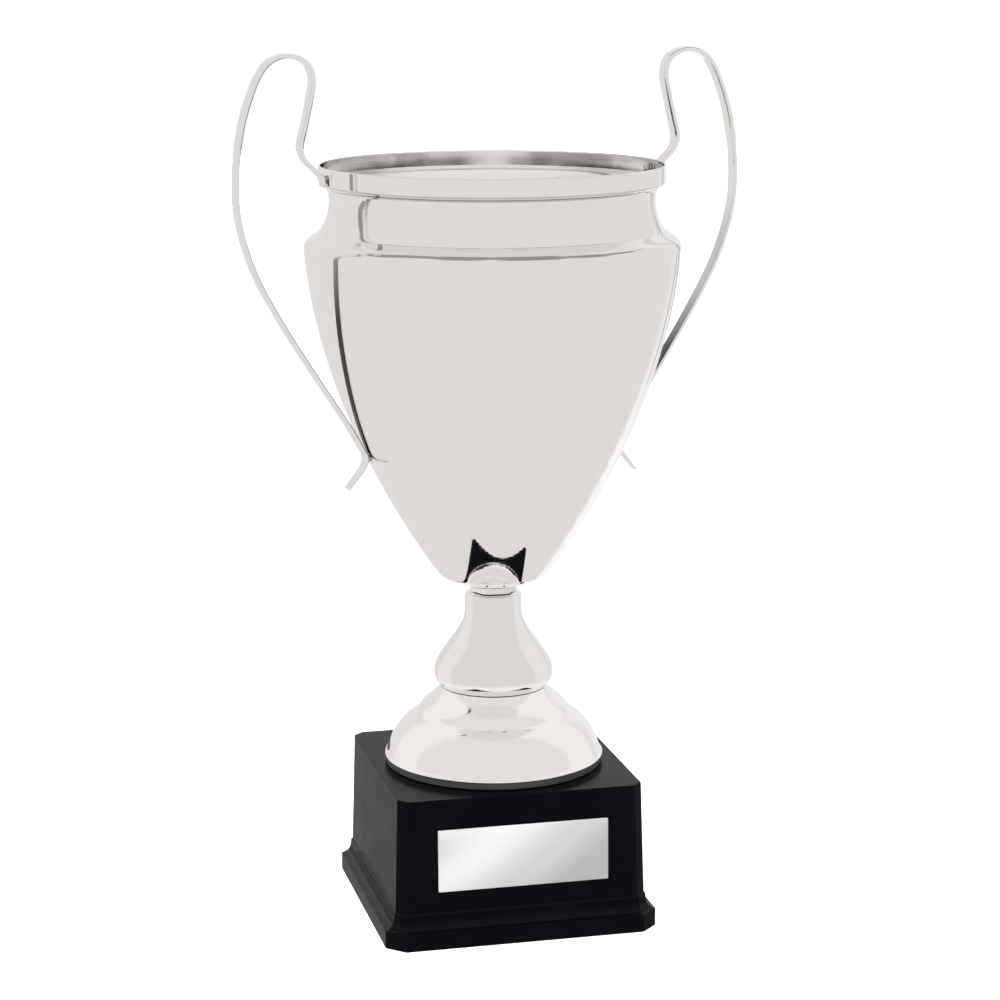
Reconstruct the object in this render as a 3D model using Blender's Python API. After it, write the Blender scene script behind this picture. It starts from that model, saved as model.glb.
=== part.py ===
"""Two-handled presentation cup on a square plinth, modelled as the separate pieces it is put together from.

Frame: metres, +Z up, origin at the centre of the plinth's underside, with the front (the side that
carries the engraving plate) towards -Y.  Every round piece shares the vertical axis through the origin,
because one threaded rod runs down that axis and clamps bowl, stem, foot, disc, plinth and ballast.
"""
import math

import bmesh
import bpy
from mathutils import Matrix, Vector

MM = 0.001

# ---- driving dimensions ------------------------------------------------------------------------
GAP = 0.3 * MM                 # clearance left between pieces that touch on the real cup
LABEL_GAP = 0.1 * MM           # clearance between the thin layers of the engraving plate
CUT_OVERRUN = 5 * MM           # how far a cutter stands out of the piece that it cuts
CUP_CLOCKING = math.radians(7)  # the handles' plane, turned from the plinth's own left-right line

# plinth: a hollow moulding with clipped corners, drafted walls and a flared base
PLINTH_HEIGHT = 60.3 * MM
PLINTH_TOP_HALF = 50.3 * MM
PLINTH_TOP_CLIP = 3.8 * MM
PLINTH_EDGE_ROUND = 0.5 * MM
BLOCK_BOTTOM_Z = 13.4 * MM
BLOCK_BOTTOM_HALF = 51.6 * MM
BLOCK_BOTTOM_CLIP = 4.2 * MM
BEAD_STEP = 0.6 * MM
BEAD_HEIGHT = 1.1 * MM
BEAD_WEATHERING = 0.4 * MM     # rise of the sloping ledge on top of the bead
COVE_FOOT_PULL = 1.4 * MM
COVE_TOP_PULL = 2.0 * MM
BASE_BAND_Z = 7.1 * MM
BASE_BAND_HALF = 56.1 * MM
BASE_BAND_CLIP = 6.9 * MM
PLINTH_WALL = 2.6 * MM
PLINTH_ROOF = 3.2 * MM
REBATE_DEPTH = 4.2 * MM        # the step in the underside that takes the closing board
LEDGE_SLOPE = 0.05 * MM        # slight slope of that step

# disc between the plinth and the foot
DISC_RADIUS = 44.9 * MM
DISC_HEIGHT = 2.5 * MM

# foot: a spun shell with a small upper tier, a dome and a turned-out edge
FOOT_EDGE_RADIUS = 45.2 * MM
FOOT_TOP_RADIUS = 22.0 * MM
FOOT_TOP_Z = 92.6 * MM
FOOT_WALL = 1.0 * MM

# stem: a spun shell with one knop
STEM_TOP_RADIUS = 10.2 * MM
STEM_TOP_Z = 132.0 * MM
STEM_FOOT_RADIUS = 22.2 * MM
STEM_WALL = 1.3 * MM

# collar nut: the hexagon nut that shows between the stem and the bowl
COLLAR_NUT_FLATS = 17.0 * MM
COLLAR_NUT_HEIGHT = 3.3 * MM
COLLAR_NUT_CHAMFER = 0.2 * MM
COLLAR_NUT_TURN = math.radians(26.6)
COLLAR_NUT_BOTTOM_Z = STEM_TOP_Z + GAP

# bowl: a spun shell
RIM_Z = 306.8 * MM
RIM_RADIUS = 69.4 * MM
RIM_BAND_BOTTOM_Z = 300.0 * MM
SHOULDER_RADIUS = 75.6 * MM
SHOULDER_Z = 273.4 * MM
BOWL_BOTTOM_Z = COLLAR_NUT_BOTTOM_Z + COLLAR_NUT_HEIGHT + GAP
BOWL_BASE_RADIUS = 12.0 * MM
BOWL_WALL = 1.0 * MM

# handles: two bent strips
STRIP_WIDTH = 6.6 * MM
STRIP_THICKNESS = 1.9 * MM
TAIL_WIDTH = 6.2 * MM
TAIL_THICKNESS = 1.2 * MM
TAIL_LENGTH = 16.0 * MM
HEAD_THICKNESS = 1.1 * MM      # the strip's upper end is dressed thin where it lies on the rim band
HEAD_LENGTH = 3.0 * MM
UPPER_SCREW_Z = 302.7 * MM
LOWER_SCREW_Z = 191.0 * MM

# M6 tie rod and its hardware
ROD_RADIUS = 3.0 * MM
ROD_HOLE_RADIUS = 3.4 * MM
ROD_BOTTOM_Z = 6.0 * MM
ROD_OVER_NUT = 3.5 * MM
ROD_TIP = 0.7 * MM
NUT_ACROSS_FLATS = 10.0 * MM
NUT_HEIGHT = 5.0 * MM
NUT_CHAMFER = 0.7 * MM
LOAD_WASHER_RADIUS = 10.5 * MM
LOAD_WASHER_HEIGHT = 1.4 * MM
SPRING_WASHER_RADIUS = 5.6 * MM
SPRING_WASHER_HEIGHT = 1.6 * MM
SPRING_WASHER_SPLIT = math.radians(12)
LOWER_WASHER_RADIUS = 9.0 * MM
LOWER_WASHER_HEIGHT = 1.6 * MM

# M2.5 handle screws
SCREW_RADIUS = 1.25 * MM
SCREW_HOLE_RADIUS = 1.6 * MM
SCREW_HEAD_RADIUS = 1.9 * MM
SCREW_HEAD_HEIGHT = 1.5 * MM
SCREW_CROWN = 0.7              # the head's flat, and the screw's point, as a share of the radius
SCREW_SLOT_WIDTH = 0.5 * MM
SCREW_SLOT_LENGTH = 6.0 * MM
SCREW_WASHER_RADIUS = 2.4 * MM
SCREW_WASHER_HEIGHT = 0.5 * MM
SCREW_BITE = 1.0 * MM          # how far a screw reaches into the strip

# ballast, closing board and felt
BALLAST_HALF = 44.0 * MM
BALLAST_CLIP = 5.0 * MM
BALLAST_BOTTOM_Z = 16.0 * MM
BALLAST_TOP_Z = PLINTH_HEIGHT - PLINTH_ROOF - GAP
BOARD_HEIGHT = 2.0 * MM
FELT_HEIGHT = 1.0 * MM
BOARD_HALF = 52.4 * MM
BOARD_CLIP = 5.6 * MM
FELT_INSET = 1.0 * MM

# engraving plate
PLATE_WIDTH = 70.0 * MM
PLATE_HEIGHT = 25.4 * MM
PLATE_THICKNESS = 0.8 * MM
PLATE_CORNER = 0.6 * MM
PLATE_CENTRE_Z = 35.3 * MM
PAD_THICKNESS = 0.3 * MM
PAD_INSET = 1.5 * MM

# facets
BOWL_SEGMENTS = 40
FOOT_SEGMENTS = 36
STEM_SEGMENTS = 24
HARDWARE_SEGMENTS = 24
SCREW_SEGMENTS = 12
SMOOTH_ANGLE = math.radians(35)


# ---- outlines ----------------------------------------------------------------------------------
def mm(*points):
    """Points given in millimetres, as (radius, height) pairs in metres."""
    return [Vector((r * MM, z * MM)) for r, z in points]


def bezier(p0, p1, p2, p3, steps):
    """Points along one cubic curve, without its first point."""
    out = []
    for i in range(1, steps + 1):
        t = i / steps
        s = 1 - t
        out.append(s**3 * p0 + 3 * s * s * t * p1 + 3 * s * t * t * p2 + t**3 * p3)
    return out


def arc(centre, radius, start, stop, steps):
    """Points on an arc, both ends included, with angles in degrees from +radius towards +height."""
    out = []
    for i in range(steps + 1):
        a = math.radians(start + (stop - start) * i / steps)
        out.append(centre + radius * Vector((math.cos(a), math.sin(a))))
    return out


def through(knots, steps):
    """Points on a smooth curve that passes through every knot."""
    first = 2 * knots[0] - knots[1]
    last = 2 * knots[-1] - knots[-2]
    padded = [first, *knots, last]
    out = [knots[0]]
    for a, b, c, d in zip(padded, padded[1:], padded[2:], padded[3:]):
        out += bezier(b, b + (c - a) / 6, c - (d - b) / 6, c, steps)
    return out


def inward(points, wall):
    """The outline moved by one wall thickness to the right of its direction, without fold-backs."""
    out = []
    kept = None
    for i, p in enumerate(points):
        before = points[max(i - 1, 0)]
        after = points[min(i + 1, len(points) - 1)]
        along = (after - before).normalized()
        moved = p + wall * Vector((along.y, -along.x))
        if kept is None or (moved - out[-1]).dot(p - kept) > 0:
            out.append(moved)
            kept = p
    return out


def bowl_outline():
    """Outer side of the bowl from the lip down to the edge of its flat bottom."""
    lip_top = Vector((RIM_RADIUS, RIM_Z - BOWL_WALL / 2))
    band_bottom = Vector((RIM_RADIUS, RIM_BAND_BOTTOM_Z))
    band_corner, groove = mm((69.0, 299.3), (66.9, 298.3))
    neck_top, neck_pull = mm((66.2, 297.3), (63.4, 290.0))
    neck_push, neck_end = mm((68.5, 281.3), (69.2, 280.7))
    turn_pull, turn_push = mm((72.6, 278.2), (75.7, 277.3))
    shoulder = Vector((SHOULDER_RADIUS, SHOULDER_Z))
    body_pull, body_push, body_end = mm((70.8, 209.0), (31.6, 151.6), (22.5, 139.9))
    base_pull, base_push = mm((18.1, 136.4), (14.8, 135.9))
    base_end = Vector((BOWL_BASE_RADIUS, BOWL_BOTTOM_Z))
    points = [lip_top, band_bottom, band_corner, groove, neck_top]
    points += bezier(neck_top, neck_pull, neck_push, neck_end, 4)
    points += bezier(neck_end, turn_pull, turn_push, shoulder, 3)
    points += bezier(shoulder, body_pull, body_push, body_end, 9)
    points += bezier(body_end, base_pull, base_push, base_end, 3)
    return points


def stem_outline():
    """Outer side of the stem from its top edge down to where it stands on the foot."""
    top = Vector((STEM_TOP_RADIUS, STEM_TOP_Z))
    neck_and_knop = mm(
        (11.3, 131.5), (11.8, 129.9), (11.8, 127.0), (12.4, 121.0), (15.5, 114.9),
        (19.9, 108.8), (23.4, 103.2), (24.6, 98.5), (24.0, 95.0),
    )
    bottom = Vector((STEM_FOOT_RADIUS, FOOT_TOP_Z + GAP))
    return through([top, *neck_and_knop, bottom], 2)


def foot_side():
    """Outer side of the foot from its flat top down over the small tier and the dome."""
    top_edge = Vector((FOOT_TOP_RADIUS, FOOT_TOP_Z))
    tier_pull, tier_push, tier_end = mm((24.0, 88.4), (30.2, 86.1), (31.0, 82.7))
    notch, dome_start = mm((31.5, 82.0), (32.3, 81.3))
    dome_pull, dome_push, dome_end = mm((36.1, 79.5), (40.9, 74.8), (43.1, 68.5))
    points = [top_edge]
    points += bezier(top_edge, tier_pull, tier_push, tier_end, 4)
    points += [notch, dome_start]
    points += bezier(dome_start, dome_pull, dome_push, dome_end, 5)
    return points


def foot_edge(dome_end):
    """The foot's edge, turned outwards from the bottom of the dome."""
    fillet_pull, fillet_push, fillet_end = mm((43.6, 67.0), (43.8, 65.2), (44.5, 64.6))
    lip_corner = Vector((FOOT_EDGE_RADIUS - 0.3 * MM, 64.3 * MM))
    lip_low = Vector((FOOT_EDGE_RADIUS, 63.8 * MM))
    return bezier(dome_end, fillet_pull, fillet_push, fillet_end, 2) + [lip_corner, lip_low]


def handle_line():
    """Centre line of one handle strip, from the rim band over the top and down to its free tail."""
    knots = mm(
        (70.4, 299.6), (70.8, 301.8), (71.4, 303.7), (74.4, 306.9), (78.0, 310.5), (79.5, 315.6),
        (77.7, 323.5), (75.4, 333.5), (74.2, 341.5), (76.4, 347.4), (82.0, 350.3), (88.2, 349.9),
        (93.6, 346.2), (98.2, 338.0), (103.0, 323.0), (105.5, 304.0), (104.5, 286.0), (98.6, 266.6),
        (88.4, 247.2), (76.2, 227.4), (63.1, 207.1), (55.9, 194.5), (54.5, 191.3), (55.0, 188.5),
        (57.3, 185.0), (62.3, 178.8),
    )
    return through(knots, 2)


# ---- mesh helpers ------------------------------------------------------------------------------
def finish(name, bm, material, parent=None):
    """Turn a bmesh into a named object with outward faces and its own material."""
    bmesh.ops.recalc_face_normals(bm, faces=bm.faces)
    mesh = bpy.data.meshes.new(name)
    bm.to_mesh(mesh)
    bm.free()
    mesh.materials.append(material)
    mesh.shade_smooth()
    mesh.set_sharp_from_angle(angle=SMOOTH_ANGLE)
    obj = bpy.data.objects.new(name, mesh)
    bpy.context.scene.collection.objects.link(obj)
    if parent is not None:
        obj.parent = parent
    return obj


def spun(name, outline, segments, material, parent=None, closed=True):
    """Revolve an outline about Z.  A closed outline gives a ring, an open one starts and ends on the axis."""
    bm = bmesh.new()
    verts = [bm.verts.new((p.x, 0, p.y)) for p in outline]
    pairs = list(zip(verts, verts[1:]))
    if closed:
        pairs.append((verts[-1], verts[0]))
    edges = [bm.edges.new(pair) for pair in pairs]
    bmesh.ops.spin(
        bm, geom=verts + edges, cent=(0, 0, 0), axis=(0, 0, 1),
        angle=math.tau, steps=segments, use_merge=True,
    )
    bmesh.ops.remove_doubles(bm, verts=bm.verts, dist=0.002 * MM)
    return finish(name, bm, material, parent)


def ring(name, inner, outer, bottom, top, segments, material, parent=None):
    """A flat washer or disc with a round hole."""
    outline = [Vector((inner, bottom)), Vector((outer, bottom)), Vector((outer, top)), Vector((inner, top))]
    return spun(name, outline, segments, material, parent)


def clipped_square(half, clip):
    """The eight corners of a square whose corners are cut off, counter-clockwise."""
    near = half - clip
    corners = []
    for quarter in range(4):
        turn = Matrix.Rotation(quarter * math.pi / 2, 2)
        corners.append(turn @ Vector((half, -near)))
        corners.append(turn @ Vector((half, near)))
    return corners


def loft(bm, rings):
    """Skin between rings of equal length, each a list of points, and return the rings' vertices."""
    levels = [[bm.verts.new(p) for p in points] for points in rings]
    for low, high in zip(levels, levels[1:]):
        for i in range(len(low)):
            j = (i + 1) % len(low)
            bm.faces.new((low[i], low[j], high[j], high[i]))
    return levels


def clipped_block(name, levels, material, bore=None):
    """A block made of clipped squares, each (half, clip, height), with an optional round bore on Z."""
    bm = bmesh.new()
    rings = [[Vector((p.x, p.y, z)) for p in clipped_square(half, clip)] for half, clip, z in levels]
    skin = loft(bm, rings)
    bm.faces.new(skin[0])
    bm.faces.new(skin[-1])
    obj = finish(name, bm, material)
    if bore is not None:
        low = levels[0][2] - CUT_OVERRUN
        high = levels[-1][2] + CUT_OVERRUN
        cut(obj, cylinder(name + "_bore", bore, low, high, HARDWARE_SEGMENTS))
    return obj


def cylinder(name, radius, bottom, top, segments):
    """A plain cylinder on Z."""
    outline = [Vector((0, bottom)), Vector((radius, bottom)), Vector((radius, top)), Vector((0, top))]
    return spun(name, outline, segments, STEEL, closed=False)


def cut(target, cutter):
    """Subtract a cutter, which stays in the file as a hidden wire guide."""
    cutter.hide_render = True
    cutter.display_type = 'WIRE'
    boolean = target.modifiers.new(cutter.name, 'BOOLEAN')
    boolean.operation = 'DIFFERENCE'
    boolean.solver = 'EXACT'
    boolean.object = cutter


def principled(name, colour, metallic, roughness):
    """A material with one Principled BSDF."""
    material = bpy.data.materials.new(name)
    material.use_nodes = True
    shader = material.node_tree.nodes["Principled BSDF"]
    shader.inputs["Base Color"].default_value = (*colour, 1)
    shader.inputs["Metallic"].default_value = metallic
    shader.inputs["Roughness"].default_value = roughness
    material.diffuse_color = (*colour, 1)
    return material


# ---- cup: bowl, stem and foot ------------------------------------------------------------------
def make_bowl(cup):
    """The spun bowl: rim band, waisted neck, shoulder and tapering body, with a hole for the tie rod."""
    outer = bowl_outline()
    inner = inward(outer, BOWL_WALL)
    lip_radius = BOWL_WALL / 2
    lip = arc(outer[0] - Vector((lip_radius, 0)), lip_radius, 150, 30, 2)
    hole_low = Vector((ROD_HOLE_RADIUS, BOWL_BOTTOM_Z))
    floor = [hole_low, hole_low + Vector((0, BOWL_WALL))]
    bowl = spun("bowl", outer + floor + inner[::-1] + lip, BOWL_SEGMENTS, BOWL_SILVER, cup)
    for side, turn in HANDLE_SIDES:
        for level, seat in (("upper", upper_seat()), ("lower", lower_seat())):
            cutter = cylinder(
                f"bowl_hole_{level}_{side}", SCREW_HOLE_RADIUS, -CUT_OVERRUN, CUT_OVERRUN, SCREW_SEGMENTS
            )
            cutter.parent = cup
            cutter.matrix_local = turn @ seat
            cut(bowl, cutter)
    return bowl


def make_stem():
    """The spun stem with its knop: open underneath, closed on top around the rod."""
    outer = stem_outline()
    inner = inward(outer, STEM_WALL)
    roof = Vector((ROD_HOLE_RADIUS, STEM_TOP_Z))
    under_roof = Vector((ROD_HOLE_RADIUS, STEM_TOP_Z - STEM_WALL))
    inner[0] = Vector((inner[0].x, under_roof.y))
    spun("stem", [roof] + outer + inner[::-1] + [under_roof], STEM_SEGMENTS, STEM_SILVER)


def make_foot():
    """The spun foot: a flat top under the stem, a small tier, a dome and a turned-out edge."""
    outer = foot_side()
    inner = inward(outer, FOOT_WALL)
    bottom = PLINTH_HEIGHT + DISC_HEIGHT + 2 * GAP
    hole_top = Vector((ROD_HOLE_RADIUS, FOOT_TOP_Z))
    hole_low = Vector((ROD_HOLE_RADIUS, FOOT_TOP_Z - FOOT_WALL))
    edge_low = Vector((FOOT_EDGE_RADIUS, bottom))
    inside_low = Vector((inner[-1].x, bottom))
    inner[0] = Vector((inner[0].x, hole_low.y))
    outside = [hole_top] + outer + foot_edge(outer[-1]) + [edge_low]
    spun("foot", outside + [inside_low] + inner[::-1] + [hole_low], FOOT_SEGMENTS, FOOT_SILVER)


# ---- handles and their screws ------------------------------------------------------------------
def upper_seat():
    """Frame of the upper screw: its origin on the bowl's outer face and +Z along the screw, outwards."""
    return seat_frame(Vector((RIM_RADIUS, UPPER_SCREW_Z)), Vector((1, 0)))


def lower_seat():
    """Frame of the lower screw, square to the bowl's tapering side."""
    side = bowl_outline()
    for high, low in zip(side, side[1:]):
        if low.y <= LOWER_SCREW_Z <= high.y:
            share = (LOWER_SCREW_Z - low.y) / (high.y - low.y)
            point = low.lerp(high, share)
            along = (high - low).normalized()
            return seat_frame(point, Vector((along.y, -along.x)))
    raise ValueError("the lower screw misses the bowl")


def seat_frame(point, outward):
    """A frame in the handles' plane at a (radius, height) point, with +Z along the outward direction."""
    z_axis = Vector((outward.x, 0, outward.y))
    y_axis = Vector((0, 1, 0))
    x_axis = y_axis.cross(z_axis)
    frame = Matrix((x_axis, y_axis, z_axis)).transposed().to_4x4()
    frame.translation = Vector((point.x, 0, point.y))
    return frame


def strip_section(width, thickness, steps=3):
    """A flat strip's section with fully rounded edges, as (across the thickness, across the width)."""
    straight = (width - thickness) / 2
    points = arc(Vector((0, straight)), thickness / 2, 0, 180, steps)
    points += arc(Vector((0, -straight)), thickness / 2, 180, 360, steps)
    return points


def make_handle(side, turn, cup):
    """One bent strip, thinner at both ends, with a blind hole for each of its two screws."""
    line = handle_line()
    lengths = [(b - a).length for a, b in zip(line, line[1:])]
    rings = []
    for i, point in enumerate(line):
        before = line[max(i - 1, 0)]
        after = line[min(i + 1, len(line) - 1)]
        along = (after - before).normalized()
        across = Vector((along.y, -along.x))
        to_tail = min(sum(lengths[i:]) / TAIL_LENGTH, 1)
        to_head = min(sum(lengths[:i]) / HEAD_LENGTH, 1)
        width = TAIL_WIDTH + (STRIP_WIDTH - TAIL_WIDTH) * to_tail
        thickness = TAIL_THICKNESS + (STRIP_THICKNESS - TAIL_THICKNESS) * to_tail
        thickness -= (STRIP_THICKNESS - HEAD_THICKNESS) * (1 - to_head)
        ring_points = []
        for thick, wide in strip_section(width, thickness):
            flat = point + thick * across
            ring_points.append(Vector((flat.x, wide, flat.y)))
        rings.append(ring_points)
    bm = bmesh.new()
    skin = loft(bm, rings)
    bm.faces.new(skin[0])
    bm.faces.new(skin[-1])
    bmesh.ops.transform(bm, matrix=turn, verts=bm.verts)
    handle = finish(f"handle_{side}", bm, HANDLE_SILVER, cup)
    depth = SCREW_BITE + 2 * GAP
    for level, seat in (("upper", upper_seat()), ("lower", lower_seat())):
        cutter = cylinder(
            f"handle_hole_{level}_{side}", SCREW_HOLE_RADIUS, -SCREW_BITE, depth, SCREW_SEGMENTS
        )
        cutter.parent = cup
        cutter.matrix_local = turn @ seat
        cut(handle, cutter)


def make_handle_screw(side, level, frame, cup):
    """A pan-head screw with a slot, put in from inside the bowl, and the washer under its head."""
    washer_top = -BOWL_WALL - GAP
    washer_bottom = washer_top - SCREW_WASHER_HEIGHT
    washer = ring(
        f"handle_washer_{level}_{side}", SCREW_HOLE_RADIUS, SCREW_WASHER_RADIUS,
        washer_bottom, washer_top, SCREW_SEGMENTS, STEEL, cup,
    )
    washer.matrix_local = frame
    head_base = washer_bottom - GAP
    head_top = head_base - SCREW_HEAD_HEIGHT
    outline = [
        Vector((0, head_top)),
        Vector((SCREW_HEAD_RADIUS * SCREW_CROWN, head_top)),
        Vector((SCREW_HEAD_RADIUS, (head_top + head_base) / 2)),
        Vector((SCREW_HEAD_RADIUS, head_base)),
        Vector((SCREW_RADIUS, head_base)),
        Vector((SCREW_RADIUS, SCREW_BITE * SCREW_CROWN)),
        Vector((SCREW_RADIUS * SCREW_CROWN, SCREW_BITE)),
        Vector((0, SCREW_BITE)),
    ]
    screw = spun(f"handle_screw_{level}_{side}", outline, SCREW_SEGMENTS, STEEL, cup, closed=False)
    screw.matrix_local = frame
    slot_bm = bmesh.new()
    bmesh.ops.create_cube(slot_bm, size=1)
    slot_size = (SCREW_SLOT_WIDTH, SCREW_SLOT_LENGTH, SCREW_HEAD_HEIGHT)
    bmesh.ops.scale(slot_bm, vec=slot_size, verts=slot_bm.verts)
    slot = finish(f"screw_slot_{level}_{side}", slot_bm, STEEL, cup)
    slot.matrix_local = frame @ Matrix.Translation((0, 0, head_top))
    cut(screw, slot)


# ---- tie rod and its hardware ------------------------------------------------------------------
def make_nut(name, bottom, height, across_flats, bore, chamfer, turn, material):
    """A hexagon nut with chamfered corners on the tie rod's axis."""
    bm = bmesh.new()
    flat = across_flats / 2

    def outside(angle, chamfered):
        from_flat = (angle + math.pi / 6) % (math.pi / 3) - math.pi / 6
        return flat if chamfered else flat / math.cos(from_flat)

    levels = (
        (bore, bottom, None), (flat, bottom, True), (flat, bottom + chamfer, False),
        (flat, bottom + height - chamfer, False), (flat, bottom + height, True),
        (bore, bottom + height, None),
    )
    rings = []
    for radius, level_z, chamfered in levels:
        points = []
        for i in range(HARDWARE_SEGMENTS):
            angle = math.tau * i / HARDWARE_SEGMENTS
            reach = radius if chamfered is None else outside(angle, chamfered)
            points.append(Vector((
                reach * math.cos(angle + turn), reach * math.sin(angle + turn), level_z
            )))
        rings.append(points)
    skin = loft(bm, rings)
    for i in range(HARDWARE_SEGMENTS):
        j = (i + 1) % HARDWARE_SEGMENTS
        bm.faces.new((skin[-1][i], skin[-1][j], skin[0][j], skin[0][i]))
    finish(name, bm, material)


def make_rod_nut(name, bottom):
    """One of the two nuts on the ends of the tie rod."""
    make_nut(name, bottom, NUT_HEIGHT, NUT_ACROSS_FLATS, ROD_RADIUS + GAP, NUT_CHAMFER, 0, STEEL)


def make_spring_washer(bottom):
    """A split lock washer: a ring of square section with a gap."""
    inner = ROD_RADIUS + GAP
    bm = bmesh.new()
    rings = []
    for i in range(HARDWARE_SEGMENTS + 1):
        angle = SPRING_WASHER_SPLIT / 2 + (math.tau - SPRING_WASHER_SPLIT) * i / HARDWARE_SEGMENTS
        out = Vector((math.cos(angle), math.sin(angle), 0))
        low = Vector((0, 0, bottom))
        high = Vector((0, 0, bottom + SPRING_WASHER_HEIGHT))
        rings.append([
            out * inner + low, out * SPRING_WASHER_RADIUS + low,
            out * SPRING_WASHER_RADIUS + high, out * inner + high,
        ])
    skin = loft(bm, rings)
    bm.faces.new(skin[0])
    bm.faces.new(skin[-1])
    finish("spring_washer", bm, STEEL)


def make_tie_rod_set():
    """The M6 rod, and the washers and nuts that pull the whole cup together on it."""
    washer_bottom = BOWL_BOTTOM_Z + BOWL_WALL + GAP
    washer_top = washer_bottom + LOAD_WASHER_HEIGHT
    spring_bottom = washer_top + GAP
    nut_bottom = spring_bottom + SPRING_WASHER_HEIGHT + GAP
    rod_top = nut_bottom + NUT_HEIGHT + ROD_OVER_NUT
    ring(
        "bowl_washer", ROD_HOLE_RADIUS, LOAD_WASHER_RADIUS,
        washer_bottom, washer_top, HARDWARE_SEGMENTS, STEEL,
    )
    make_spring_washer(spring_bottom)
    make_rod_nut("rod_nut_upper", nut_bottom)

    low_top = BALLAST_BOTTOM_Z - GAP
    low_bottom = low_top - LOWER_WASHER_HEIGHT
    ring(
        "plinth_washer", ROD_HOLE_RADIUS, LOWER_WASHER_RADIUS,
        low_bottom, low_top, HARDWARE_SEGMENTS, STEEL,
    )
    make_rod_nut("rod_nut_lower", low_bottom - GAP - NUT_HEIGHT)

    outline = [
        Vector((0, ROD_BOTTOM_Z)), Vector((ROD_RADIUS - ROD_TIP, ROD_BOTTOM_Z)),
        Vector((ROD_RADIUS, ROD_BOTTOM_Z + ROD_TIP)), Vector((ROD_RADIUS, rod_top - ROD_TIP)),
        Vector((ROD_RADIUS - ROD_TIP, rod_top)), Vector((0, rod_top)),
    ]
    spun("tie_rod", outline, HARDWARE_SEGMENTS, STEEL, closed=False)


# ---- plinth and what it holds ------------------------------------------------------------------
def plinth_half(height):
    """Half width of the plinth's drafted wall at a height."""
    share = (height - BLOCK_BOTTOM_Z) / (PLINTH_HEIGHT - BLOCK_BOTTOM_Z)
    return BLOCK_BOTTOM_HALF + (PLINTH_TOP_HALF - BLOCK_BOTTOM_HALF) * share


def plinth_levels():
    """The outside of the plinth from its underside up, as (half width, corner clip, height)."""
    bead_bottom = BLOCK_BOTTOM_Z - BEAD_HEIGHT
    bead_half = BLOCK_BOTTOM_HALF + BEAD_STEP
    cove_top = Vector((bead_half, bead_bottom))
    cove_foot = Vector((BASE_BAND_HALF, BASE_BAND_Z))
    foot_pull = Vector((bead_half + COVE_FOOT_PULL, BASE_BAND_Z))
    top_pull = cove_top - Vector((0, COVE_TOP_PULL))
    cove = bezier(cove_foot, foot_pull, top_pull, cove_top, 5)
    levels = [(BASE_BAND_HALF, BASE_BAND_CLIP, 0), (BASE_BAND_HALF, BASE_BAND_CLIP, BASE_BAND_Z)]
    for point in cove:
        share = (point.x - bead_half) / (BASE_BAND_HALF - bead_half)
        clip = BLOCK_BOTTOM_CLIP + (BASE_BAND_CLIP - BLOCK_BOTTOM_CLIP) * share
        levels.append((point.x, clip, point.y))
    levels.append((bead_half, BLOCK_BOTTOM_CLIP, BLOCK_BOTTOM_Z))
    levels.append((BLOCK_BOTTOM_HALF, BLOCK_BOTTOM_CLIP, BLOCK_BOTTOM_Z + BEAD_WEATHERING))
    edge_z = PLINTH_HEIGHT - PLINTH_EDGE_ROUND
    levels.append((plinth_half(edge_z), PLINTH_TOP_CLIP, edge_z))
    top_clip = PLINTH_TOP_CLIP - PLINTH_EDGE_ROUND / 2
    levels.append((PLINTH_TOP_HALF - PLINTH_EDGE_ROUND, top_clip, PLINTH_HEIGHT))
    return levels


def make_plinth():
    """The hollow plinth: a thin-walled box, open underneath, with a stepped rim for the closing board."""
    plinth = clipped_block("plinth", plinth_levels(), BLACK_MOULDING, bore=ROD_HOLE_RADIUS)
    roof_z = PLINTH_HEIGHT - PLINTH_ROOF
    ledge_half = BLOCK_BOTTOM_HALF - PLINTH_WALL
    rebate_half = BOARD_HALF + GAP
    levels = (
        (rebate_half, BOARD_CLIP, -CUT_OVERRUN),
        (rebate_half, BOARD_CLIP, REBATE_DEPTH),
        (ledge_half, BOARD_CLIP, REBATE_DEPTH + LEDGE_SLOPE),
        (ledge_half, BOARD_CLIP, BLOCK_BOTTOM_Z),
        (PLINTH_TOP_HALF - PLINTH_WALL, BOARD_CLIP, roof_z),
    )
    cut(plinth, clipped_block("plinth_hollow", levels, BLACK_MOULDING))


def make_plinth_filling():
    """Ballast under the plinth's roof, then the closing board and the felt under it."""
    ballast_levels = (
        (BALLAST_HALF, BALLAST_CLIP, BALLAST_BOTTOM_Z),
        (BALLAST_HALF, BALLAST_CLIP, BALLAST_TOP_Z),
    )
    clipped_block("ballast_block", ballast_levels, CEMENT, bore=ROD_HOLE_RADIUS)
    board_top = REBATE_DEPTH - GAP
    board_bottom = board_top - BOARD_HEIGHT
    board_levels = ((BOARD_HALF, BOARD_CLIP, board_bottom), (BOARD_HALF, BOARD_CLIP, board_top))
    clipped_block("base_board", board_levels, BOARD)
    felt_top = board_bottom - GAP
    felt_half = BOARD_HALF - FELT_INSET
    felt_levels = ((felt_half, BOARD_CLIP, felt_top - FELT_HEIGHT), (felt_half, BOARD_CLIP, felt_top))
    clipped_block("base_felt", felt_levels, FELT)


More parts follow.
